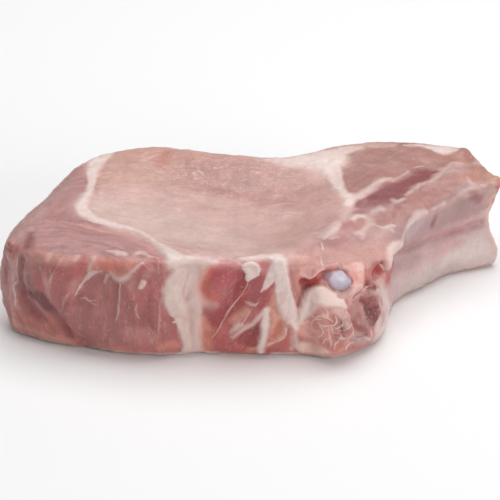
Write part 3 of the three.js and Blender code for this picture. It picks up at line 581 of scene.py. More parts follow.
FATS: tuple[Fat, ...] = (
    Fat("seam of the eye", ((-52.7, 35.8, 3), (-55.1, 30.1, 2.8), (-55.7, 23, 2), (-55.6, 16.9, 1.4),
        (-55.9, 10.8, 1.3), (-57.2, 5.2, 1.5), (-57.8, -0.2, 2.2), (-56.3, -3.9, 2.5), (-53.5, -6.4, 2),
        (-49.8, -7.5, 1.6), (-46.1, -8.7, 1.3), (-42.4, -10.1, 1), (-38.7, -12.4, 0.8), (-34.8, -17.7, 0.9),
        (-31.3, -25.5, 1.2), (-27.7, -33.3, 2.1), (-24.4, -38.7, 2.8), (-20.6, -39.6, 2.4)), FatTone.WHITE,
        0.25, 1),
    Fat("belly fat", ((3, 32, 0.7), (7, 32, 2), (12, 31, 3), (18, 31, 5), (23, 31, 6.2), (26, 31, 6)),
        FatTone.WHITE, 0.25, 2),
    Fat("belly fat, inner leg", ((26, 27, 3.6), (27, 22, 2.8), (28, 16, 2.1), (30, 10, 1.5), (32, 8, 1.8),
        (31, 5, 1.6)), FatTone.WHITE, 0.25, 1.3),
    Fat("belly fat, behind the muscle", ((31, 36, 2.6), (34, 37, 1.8), (37, 37, 0.9)), FatTone.WHITE, 0.25,
        1.2, 0.7),
    Fat("fat of the right back edge", ((51.6, 38.5, 0.4), (56.9, 39.1, 0.7), (61.4, 38.3, 1.2),
        (64.4, 37.4, 2.5), (67.2, 37.7, 2.1), (69.7, 37.8, 1.1)), FatTone.WHITE, 0.25, 0.9),
    Fat("upper edge of the dark strip", ((32.7, 7.8, 1.3), (34.8, 9.4, 1.2), (36.9, 11.5, 1.1), (39, 13.7, 1),
        (41.5, 16.3, 1.1), (43.9, 18.1, 0.8), (46.4, 18.9, 0.3)), FatTone.BEIGE, 0.15, 1.1, 0.7),
    Fat("line above the dark strip", ((46.3, 17.4, 0.4), (49.5, 20.5, 0.4), (52.5, 23.6, 0.35)), FatTone.PINK,
        0.1, 0.7, 0.4),
    Fat("seam towards the spine", ((31, 2, 1), (30, -1, 0.8), (29, -5, 0.7), (26, -9, 0.8), (24, -14, 0.8),
        (21, -18, 0.6)), FatTone.PINK, 0.15, 1.3, 0.6),
    Fat("seam towards the spine, bright", ((27.7, -8.7, 0.6), (26.3, -11.9, 1.1), (24.2, -15.6, 1),
        (22.1, -19.3, 0.5)), FatTone.WHITE, 0.2, 0.9, 0.75),
    Fat("below the dark strip", ((32.6, -3.1, 0.7), (34, -1.3, 1), (36.3, -1.3, 0.8)), FatTone.WHITE, 0.2,
        0.7, 0.8),
    Fat("below the dark strip, right", ((39.4, 1.2, 0.8), (41.1, 1.8, 1.1), (42.4, 1.2, 0.6)), FatTone.WHITE,
        0.15, 0.9, 0.6),
    Fat("bits below the dark strip", ((46, 5.5, 0.8), (47.5, 4.1, 0.9), (49.7, 5.9, 0.5)), FatTone.WHITE,
        0.15, 0.8, 0.6),
    Fat("lower edge of the dark strip", ((50.8, 8.5, 0.6), (53, 10.9, 1), (54.8, 13, 0.8), (57.3, 14.7, 0.4),
        (59.7, 15.9, 0.5), (61.6, 18.2, 0.8), (63.7, 22.4, 0.6), (66, 26.3, 0.4)), FatTone.PINK, 0.15, 0.9,
        0.6),
    Fat("between the ribs, upright", ((37, -1, 0.9), (38, -4, 1.1), (36, -8, 0.9), (35, -11, 0.7)),
        FatTone.BEIGE, 0.1, 1.2, 0.6),
    Fat("between the ribs, blob", ((33, -11, 0.9), (35, -10, 1.1), (35, -13, 0.4)), FatTone.PINK, 0.15, 1.2,
        0.65),
    Fat("between the ribs, curl", ((38.5, -4.4, 0.25), (40.1, -6.4, 0.4), (42.3, -7.8, 0.5),
        (44.4, -6.4, 0.7), (46.1, -6.1, 0.3)), FatTone.WHITE, 0.2, 0.6, 0.65),
    Fat("curl, branch", ((44.3, -6.9, 0.35), (45.3, -8.6, 0.45)), FatTone.WHITE, 0.15, 0.6, 0.5),
    Fat("dab by the spine", ((24.7, -18.7, 0.6), (26.8, -16.9, 0.4)), FatTone.WHITE, 0.1, 0.8, 0.5),
    Fat("arc of the tip 1", ((66.4, 27, 0.4), (67.6, 28.9, 0.5), (69.7, 29.3, 0.4), (72, 28.5, 0.3)),
        FatTone.PINK, 0.1, 0.8, 0.6),
    Fat("arc of the tip 2", ((65.3, 22, 0.4), (67.5, 23.3, 0.7), (69.1, 22.2, 0.4)), FatTone.PINK, 0.1, 0.9,
        0.5),
    Fat("arc of the tip 3", ((71.8, 18.6, 0.4), (73, 16.3, 0.6), (74.7, 16, 0.4)), FatTone.PINK, 0.1, 0.9,
        0.5),
    Fat("white scrap", ((-37.6, -33.3, 0.8), (-36, -33.4, 1), (-34.3, -35.6, 0.5), (-31.1, -36.9, 0.3)),
        FatTone.PINK, 0.1, 0.8, 0.7),
    Fat("pale scrap", ((-47.4, -30.6, 0.4), (-45.4, -31.5, 1), (-43.1, -32.9, 1.3), (-41.8, -33.7, 0.8)),
        FatTone.PINK, 0.15, 0.6),
    Fat("rim over the middle", ((-5.4, -38.5, 0.4), (-2.6, -38.4, 0.8), (1.2, -37.8, 1.1), (4.7, -38.2, 1.5),
        (7.2, -39.1, 2.2)), FatTone.WHITE, 0.2, 0.7),
    Fat("front rim", ((-20.6, -39.6, 2.2), (-16.5, -39.5, 1.4), (-12.7, -39.7, 0.5)), FatTone.WHITE, 0.2,
        0.8),
    Fat("long streak of the brow", ((-61.3, -32.5, 32.9, 0.2), (-62.9, -34.2, 31.3, 0.2),
        (-64.2, -35.1, 29.3, 0.25), (-65.6, -35.4, 26.5, 0.35), (-65.9, -35.6, 24.7, 0.2)), FatTone.PINK, 0.1,
        0.5, 0.5),
    # Painted highlight: a pale dab on the brow, drawn as fat.
    Fat("dab 1", ((-65.3, -30.1, 33.7, 0.4), (-65.9, -32.1, 32.6, 0.5), (-66.5, -33, 31.7, 0.2)),
        FatTone.PINK, 0.1, 0.8, 0.4),
    # Painted highlight: a pale dab on the brow, drawn as fat.
    Fat("dab 3", ((-56.3, -30.8, 33.7, 0.4), (-57.2, -32.9, 32.7, 0.4), (-57.8, -34.1, 31.9, 0.2)),
        FatTone.PINK, 0.1, 0.7, 0.4),
    Fat("arc of the lobe, left", ((-57.9, -38.1, 21.7, 0.15), (-56.2, -37.5, 24.3, 0.25),
        (-54.6, -36.9, 26.6, 0.5), (-53.3, -36.7, 28, 0.8), (-51.6, -36.6, 29.4, 0.6),
        (-50.3, -36.7, 29.8, 0.3), (-48.7, -37, 30, 0.15)), FatTone.PINK, 0.2, 0.4, 0.75),
    Fat("arc of the lobe, tab", ((-47.1, -38.1, 29.5, 0.6), (-47.8, -38.2, 28.1, 0.5),
        (-48.1, -38.4, 27.1, 0.25)), FatTone.PINK, 0.2, 0.5, 0.65),
    Fat("arc of the lobe, right", ((-46.1, -38.2, 29.9, 0.35), (-44.8, -39.1, 29, 0.6),
        (-43.5, -39.8, 28.7, 0.7), (-41.9, -40.2, 29.3, 0.6), (-40.3, -40.3, 30.8, 0.4),
        (-38.3, -39.9, 32.4, 0.5), (-35.8, -38.6, 34.2, 0.5)), FatTone.PINK, 0.2, 0.8, 0.7),
    Fat("veil left of the orange", ((-50.3, -30, 34, 0.5), (-51.4, -32.5, 33.3, 0.7),
        (-52.3, -34.6, 31.9, 0.6), (-53.2, -36, 29.8, 0.5)), FatTone.PINK, 0.1, 1, 0.4),
    Fat("white oval", ((-36.4, -42.3, 27.6, 0.8), (-35.5, -42.2, 28.7, 0.95)), FatTone.PINK, 0.3, 0.35),
    Fat("veil of the red end", ((-35, -42, 31, 0.5), (-34, -41, 32, 0.8), (-32, -41, 33, 0.5)), FatTone.PINK,
        0.1, 1.4, 0.25),
    Fat("seam band, top", ((-27.6, -37.4, 35.4, 1.8), (-24.4, -39.5, 34.8, 3.2), (-20.6, -40, 34.3, 3.2),
        (-16.5, -39.9, 34.7, 1.7), (-13.3, -39.9, 35, 0.7)), FatTone.WHITE, 0.25, 0.9),
    Fat("seam band", ((-19, -40, 34, 3), (-20, -41, 30, 2.8), (-21, -41, 26, 2.6), (-20, -41, 22, 3.2),
        (-20, -41, 17, 2.8), (-20, -41, 13, 2.4), (-20, -41, 7, 2.2), (-19, -40, 2, 2.1)), FatTone.BEIGE, 0.3,
        1.5),
    Fat("seam band, left half", ((-24, -40, 34, 2.6), (-24, -41, 31, 2.9), (-26, -42, 27, 3.3),
        (-26, -43, 23, 3.4), (-25, -43, 20, 3.2), (-24, -42, 16, 2.2), (-23, -42, 12, 1.9),
        (-22, -41, 7, 1.8), (-22, -41, 2, 1.8)), FatTone.BAND, 0.3, 0.9, 1),
    Fat("seam band, tongue", ((-18, -41, 22, 2), (-16, -42, 21, 1.5), (-13, -42, 21, 0.6)), FatTone.PINK, 0.1,
        1.6, 0.5),
    Fat("seam band, side spur", ((-26.2, -43, 14.6, 0.4), (-24.6, -42.6, 14.8, 0.6)), FatTone.WHITE, 0.2,
        0.5),
    # Painted shade in the creases of the band, drawn as fat.
    Fat("crease of the band", ((-21.6, -41.4, 24.4, 0.2), (-22, -41.6, 22.4, 0.2)), FatTone.SHADE, 0, 0.3, 1),
    Fat("crease of the band, low", ((-20.9, -41.4, 12.1, 0.15), (-21.2, -41.3, 8.6, 0.2)), FatTone.SHADE, 0,
        0.3, 0.5),
    Fat("flap", ((7.5, -38.8, 36.6, 2.2), (7.5, -41.1, 34.2, 2.3), (8.2, -41.6, 30.1, 2.3),
        (8.8, -41.9, 25.9, 2.5), (9.5, -42.1, 21.9, 2.7), (10.8, -42.3, 18.3, 2.6), (12.1, -42.1, 15.2, 1.7),
        (12.8, -42, 11.7, 0.9)), FatTone.WHITE, 0.5, 0.7, 1),
    Fat("flap, inner leg", ((6.3, -41.2, 33.5, 1.9), (5, -41.5, 30.8, 1.8), (3.4, -42, 28.2, 1.1),
        (1.9, -42.5, 25.9, 0.3)), FatTone.WHITE, 0.35, 0.5),
    Fat("flap, lower leg", ((7.6, -41.9, 24.4, 1), (8.2, -42.1, 20.1, 1.4), (9.9, -42.2, 16.7, 1.4),
        (10.5, -42.2, 14.1, 0.9)), FatTone.CREAM, 0.3, 1),
    Fat("square bit", ((-3.5, -41.5, 34.5, 1.2), (-2.3, -41.7, 34.2, 2.3), (-1, -41.9, 33.3, 2.5),
        (-1.6, -42.1, 31.9, 1.8), (-2.6, -42.3, 30.2, 0.6)), FatTone.WHITE, 0.6, 0.35),
    Fat("slanting patch", ((-8, -42.3, 10.4, 0.4), (-6.7, -42.5, 12, 1), (-5.1, -42.7, 13.7, 0.9)),
        FatTone.PINK, 0.2, 0.8, 0.7),
    Fat("slanting streak", ((-7.4, -42.2, 8.8, 0.5), (-4.8, -42.6, 11.3, 0.7), (-2.3, -42.8, 13, 0.8),
        (-0.3, -42.9, 14.9, 0.8), (1.6, -42.9, 17.2, 0.9), (3.5, -42.7, 18.9, 1.1)), FatTone.PINK, 0.25, 0.8,
        0.8),
    Fat("upright streak", ((3.2, -42.8, 19, 0.9), (3.2, -42.8, 15.2, 1.3), (2.9, -42.6, 11.4, 1.2),
        (2.2, -42.4, 7.4, 1.1), (1.6, -41.7, 2.8, 1.1)), FatTone.WHITE, 0.3, 0.6),
    Fat("crescent of the grey flap", ((-3.2, -42.9, 22.4, 0.25), (-1.6, -42.9, 21.7, 0.4),
        (0, -42.9, 21.3, 0.4), (1.2, -42.8, 22.4, 0.25)), FatTone.PINK, 0.2, 0.4, 0.55),
    Fat("fringe of the orange", ((9.9, -42.2, 11.9, 0.3), (9.3, -42.2, 9.2, 0.4), (8, -42.1, 7.6, 0.4),
        (6.1, -42.2, 6.9, 0.35), (3.8, -42.2, 5.7, 0.25)), FatTone.PINK, 0.3, 0.35, 0.8),
    Fat("fold of the red 2", ((11.8, -42.1, 11.4, 0.4), (11.9, -42.1, 8, 0.5), (11.6, -41.7, 3.2, 0.6)),
        FatTone.PINK, 0.3, 0.5, 0.65),
    Fat("foot left of the lobe", ((12.5, -42, 9.1, 0.7), (13.2, -41.8, 4.8, 0.9), (14.8, -41.5, 3.1, 1)),
        FatTone.PINK, 0.2, 0.7, 0.75),
    Fat("cap of the spine lobe", ((15.6, -41.5, 18.9, 1.4), (16.8, -40.9, 21.9, 2.2),
        (18.7, -41.1, 23.5, 2.9), (21.3, -41.8, 23.6, 3.1), (23.8, -41.6, 22.3, 2.8),
        (26.1, -41.4, 21.1, 2.2), (27.7, -41.7, 20.1, 1.2)), FatTone.CREAM, 0.9, 0.8, 1),
    Fat("arm of the cap", ((17.5, -41.6, 20.1, 2.4), (15.9, -41.4, 18.1, 2.1), (15, -41.5, 15.9, 1.4),
        (14.1, -41.6, 13.7, 0.6)), FatTone.CREAM, 0.6, 0.8, 1),
    Fat("edge of the lobe", ((28.3, -41.7, 19.8, 0.8), (29.6, -43, 17.6, 0.8), (30.6, -43.8, 15.1, 0.4),
        (32.7, -43, 10.5, 0.4), (33.1, -42.1, 7.2, 0.5)), FatTone.PINK, 0.25, 0.8, 0.35),
    Fat("top right of the lobe", ((25, -44, 20, 1), (27, -44, 19, 1.4), (28, -44, 17, 1.2),
        (29, -45, 15, 0.6)), FatTone.PINK, 0.15, 1.2, 0.5),
    Fat("foot tab of the lobe", ((14.8, -41.4, 5.3, 0.5), (14.8, -41.6, 2.7, 0.8)), FatTone.CREAM, 0.2, 0.6,
        0.7),
    Fat("side of the bone", ((41, -27, 17, 1.2), (43, -25, 12, 1.8), (44, -19, 4, 1.9), (43, -28, 6, 1.6),
        (41, -33, 5, 1.2)), FatTone.BEIGE, 0.1, 1.6, 0.6),
    Fat("loop under the bone", ((34.3, -41.1, 10.8, 0.35), (34.4, -41, 8.4, 0.5), (36.2, -38.8, 5.9, 0.5),
        (37.5, -37.4, 6.2, 0.4), (37.5, -37.5, 8.1, 0.3)), FatTone.PINK, 0.3, 0.4, 0.75),
    Fat("flap of the lining", ((48, -10, 24.4, 1.2), (45.8, -13.2, 25.1, 1.7), (44.3, -15.6, 24.6, 1.6),
        (43.6, -18.5, 23.6, 1.1), (42.8, -21.2, 22.1, 0.6)), FatTone.BEIGE, 0.5, 0.7),
    Fat("edge of the lining, corner", ((49.8, -5.9, 27.4, 0.4), (51.1, -4.4, 29.2, 0.7),
        (52.8, -2.9, 30.7, 1), (54.9, -1.4, 31.3, 0.8), (57.4, 0.5, 31, 0.5)), FatTone.CREAM, 0.15, 1, 0.8),
    Fat("edge of the lining, middle", ((52.2, -3.6, 29.9, 0.5), (50.1, -5.4, 27.9, 0.4),
        (48.7, -8, 26.3, 0.4), (48.3, -9.5, 24.5, 0.5)), FatTone.CREAM, 0.3, 0.6, 0.7),
    Fat("edge of the lining, right", ((58.5, 1.8, 31.1, 0.3), (61.4, 4.6, 30.7, 0.4), (63.6, 6.9, 30.6, 0.5)),
        FatTone.PINK, 0.2, 0.6, 0.7),
    Fat("edge of the lining, far right", ((66.5, 9.5, 30.7, 0.25), (69.4, 11.8, 31.4, 0.35),
        (71.9, 13.8, 32.2, 0.6), (74, 14.8, 32.4, 0.8), (75.7, 14.9, 32.4, 0.3)), FatTone.PINK, 0.2, 0.8,
        0.4),
    Fat("edge of the tip", ((76.4, 15.8, 32.7, 0.2), (79.2, 16.9, 33.2, 0.3), (81.6, 17, 33.2, 0.3)),
        FatTone.CREAM, 0.2, 0.6, 0.6),
    Fat("back cover 1", ((71, 39, 27, 2), (60, 42, 25, 4.5), (46, 42, 27, 3), (36, 42, 24, 4.5),
        (27, 41, 27, 2.5)), FatTone.CREAM, 0.3, 1.8, 0.75),
    Fat("back cover 2", ((70, 40, 8, 2), (58, 42, 5, 4), (44, 42, 8, 2.5), (30, 41, 5, 4.5), (16, 38, 9, 3)),
        FatTone.BEIGE, 0.25, 1.8, 0.7),
    Fat("back cover 3", ((12, 37, 25, 2), (0, 37, 28, 3), (-12, 39, 24, 4.5), (-26, 43, 28, 3),
        (-40, 45, 24, 4.5), (-54, 38, 27, 2.5)), FatTone.CREAM, 0.3, 1.8, 0.7),
    Fat("back cover 4", ((0, 37, 6, 2), (-14, 40, 8, 4), (-28, 44, 5, 2.5), (-42, 45, 7, 4.5),
        (-56, 36, 6, 3)), FatTone.BEIGE, 0.25, 1.8, 0.65),
    Fat("left cover", ((-66, 23, 24, 3), (-71, 12, 21, 4), (-75, -2, 24, 3)), FatTone.PINK, 0.2, 2.4, 0.55),
    Fat("left cover, low", ((-66, 22, 5, 2.5), (-72, 8, 7, 3.5), (-77, -8, 6, 2.5)), FatTone.PINK, 0.2, 2.2,
        0.5),
    Fat("end face, seam", ((78.5, 29, 22, 0.5), (77.5, 33, 23, 0.7), (76, 38, 21, 0.6), (75, 41, 17, 0.4)),
        FatTone.PINK, 0.2, 0.8, 0.8),
    Fat("end face, round the bone", ((79, 28, 15, 0.5), (78.5, 29.5, 9, 0.7), (78.5, 28, 3, 0.5)),
        FatTone.PINK, 0.2, 0.7, 0.8),
)

THREADS: tuple[Thread, ...] = (
    Thread("upright by the spine 2", ((21.4, -22.1, 0.2), (21.6, -25.6, 0.3)), 0.65),
    Thread("upright by the spine 3", ((20.9, -28.6, 0.25), (21, -36.1, 0.3)), 0.6),
    Thread("thread of the back muscle", ((55, 26.3, 0.25), (56.8, 27.3, 0.3), (58.3, 28.2, 0.2)), 0.35),
    Thread("left bright", ((-77.7, -28.6, 20.9, 0.15), (-78.5, -28.7, 19.1, 0.25), (-77.9, -29.4, 16.1, 0.22),
        (-78.1, -29.8, 12.9, 0.15)), 0.42),
    Thread("left bulge thread", ((-79.3, -22.4, 32.6, 0.25), (-77.6, -19.2, 33.4, 0.3),
        (-75.3, -16.1, 33.9, 0.2)), 0.4),
    Thread("left streak 1", ((-78.7, -26.8, 29.9, 0.15), (-78.9, -27.2, 24.6, 0.2),
        (-78.7, -28.6, 20.1, 0.15)), 0.3),
    Thread("left streak 2", ((-76.7, -27.8, 29.8, 0.15), (-77.2, -27.8, 25.7, 0.2),
        (-77.1, -28.6, 21.2, 0.15)), 0.35),
    Thread("lobe upright 1", ((-43.2, -40.3, 27.5, 0.25), (-43.2, -41.7, 23.9, 0.3),
        (-43.6, -42.5, 20.7, 0.35), (-43.7, -43.1, 18, 0.35), (-44.4, -43.2, 15.9, 0.25)), 0.38),
    Thread("lobe upright 6", ((-37.8, -43.4, 21.6, 0.25), (-38.2, -43.8, 19.6, 0.35),
        (-37.3, -44.1, 17.2, 0.25)), 0.3),
    Thread("lobe upright 8", ((-30.5, -43.5, 20.9, 0.25), (-30.6, -43.9, 16.6, 0.3),
        (-31, -43.8, 12.1, 0.25)), 0.22),
    Thread("lobe squiggle 1", ((-56, -38.7, 21, 0.15), (-54.3, -38.9, 21.5, 0.25), (-53, -39.5, 20.7, 0.2),
        (-51.4, -39.9, 21, 0.15)), 0.32),
    Thread("lobe squiggle 2", ((-54, -39.2, 20.9, 0.15), (-52.4, -39.9, 20.2, 0.2),
        (-51.1, -40.4, 19.7, 0.15)), 0.28),
    Thread("lobe curve", ((-59.2, -37.5, 22.8, 0.25), (-60.5, -37.6, 21.1, 0.3), (-61.5, -37.7, 19.2, 0.3),
        (-62.3, -37.8, 15.5, 0.25)), 0.25),
    Thread("thread of the red end", ((-30.7, -38.4, 34.8, 0.2), (-30.7, -41.3, 32.2, 0.25)), 0.35),
    Thread("long thread of the middle", ((-2.3, -42.4, 29.5, 0.15), (-3.8, -42.6, 25.9, 0.15),
        (-5.8, -42.7, 23, 0.15), (-7.7, -42.6, 20.4, 0.28), (-9.3, -42.5, 17.3, 0.3),
        (-10.9, -42.3, 13.8, 0.18), (-12.5, -41.8, 10.1, 0.15), (-13.8, -41.5, 8, 0.1)), 0.5, 0.15),
    Thread("second thread of the middle", ((-1.6, -43, 19.5, 0.2), (-2.9, -42.9, 16.8, 0.3),
        (-4.5, -42.7, 13.3, 0.3)), 0.3),
    Thread("bar of the corner", ((36.7, -32.1, 21.4, 0.2), (38.1, -30.3, 21.5, 0.3), (39.6, -26.5, 20, 0.25)),
        0.45),
    Thread("bar above the bone", ((34, -35, 21.4, 0.2), (36.4, -33.7, 20.2, 0.3), (39.1, -30.7, 18.7, 0.2)),
        0.5, 0.3),
    # Painted highlight, drawn as a thread.
    Thread("glint of the corner", ((41.7, -21.4, 23.8, 0.2), (42.1, -21.8, 22.1, 0.3)), 0.75),
    Thread("worm 1", ((18.2, -42.2, 17.1, 0.2), (19.4, -43.6, 16.9, 0.23), (20.6, -44.5, 18.2, 0.25),
        (21.9, -45, 18.1, 0.27), (23.2, -45.4, 17.6, 0.25), (24.1, -45.7, 17, 0.2)), 0.58),
    Thread("worm 2", ((20.6, -44.7, 17.2, 0.2), (18.8, -42.9, 15.7, 0.23), (17.9, -41.5, 13.3, 0.23),
        (18.3, -41.7, 11.5, 0.2)), 0.58),
    Thread("worm 3", ((17.9, -41.4, 11.4, 0.2), (18.9, -42.8, 11.4, 0.23), (20.1, -44.7, 12.7, 0.2)), 0.58),
    Thread("worm 4", ((21.9, -44, 20.5, 0.2), (22.8, -44.6, 19.4, 0.25), (23.1, -45.1, 18.2, 0.23)), 0.58),
    Thread("worm 5", ((20.3, -44.8, 15.7, 0.2), (21.3, -45.6, 15.1, 0.22), (23.2, -46.2, 15.5, 0.22),
        (25.1, -46.1, 15.8, 0.22), (25.7, -45.7, 16.7, 0.22), (25.4, -45.1, 17.8, 0.2)), 0.58),
    Thread("worm 6", ((24.1, -46.4, 15.2, 0.2), (24.5, -46.8, 13.6, 0.22), (25.4, -46.8, 12.9, 0.22),
        (27.4, -46, 12.7, 0.2)), 0.52),
    Thread("worm 7", ((25.4, -46.5, 14.5, 0.2), (26.7, -46, 15, 0.23), (27.6, -45.5, 15.4, 0.25),
        (27.6, -45.1, 16.6, 0.2)), 0.52),
    Thread("worm 8", ((26, -46.7, 13.9, 0.2), (28, -46.1, 13.9, 0.23), (29.3, -45.1, 14.4, 0.23),
        (29.9, -44.3, 15.1, 0.2)), 0.52),
    Thread("worm 9", ((21, -45.5, 14.7, 0.2), (21.6, -46.1, 13.2, 0.23), (21, -45.8, 11.5, 0.22),
        (19.5, -43.5, 9.3, 0.22), (17.4, -41.1, 8.1, 0.22), (15.7, -41.1, 9.6, 0.2)), 0.52),
    Thread("worm 10", ((23.2, -46.4, 14.5, 0.2), (23.5, -46.8, 12.5, 0.23), (23.9, -47, 10.4, 0.25),
        (23.9, -46.6, 7.8, 0.2)), 0.52),
    Thread("worm 11", ((26.7, -46.7, 11.7, 0.2), (27.4, -46.6, 10.4, 0.3), (29, -45.4, 10.1, 0.23),
        (30.3, -45, 11.3, 0.23), (30.6, -44.5, 13.3, 0.2)), 0.52),
    Thread("worm 12", ((21.4, -45.7, 8.4, 0.2), (22.3, -46.6, 10.5, 0.23), (23.5, -46.9, 11.4, 0.2)), 0.52),
    Thread("worm 13", ((29.2, -44.2, 4.8, 0.2), (29.1, -45, 6.8, 0.3), (30.1, -44.7, 7.8, 0.27),
        (31.4, -43.7, 7.5, 0.2)), 0.52),
    Thread("worm 14", ((25.3, -46.1, 6.4, 0.2), (25.5, -46.7, 8.6, 0.22), (26.4, -46.7, 9.8, 0.2)), 0.52),
    Thread("worm 15", ((15, -41.3, 13.5, 0.2), (16.3, -41, 13.7, 0.23), (17.3, -41.3, 14.3, 0.2)), 0.58),
    Thread("worm 16", ((20.5, -43.9, 4.9, 0.2), (21.5, -44, 3.1, 0.2)), 0.58),
    Thread("back silver 1", ((70, 41, 21, 0.2), (57, 42, 19, 0.3), (40, 42, 20.5, 0.3), (29, 41, 22, 0.2)),
        0.4),
    Thread("back silver 2", ((-20, 42, 11, 0.2), (-33, 44, 12.5, 0.3), (-47, 43, 11, 0.2)), 0.4),
)

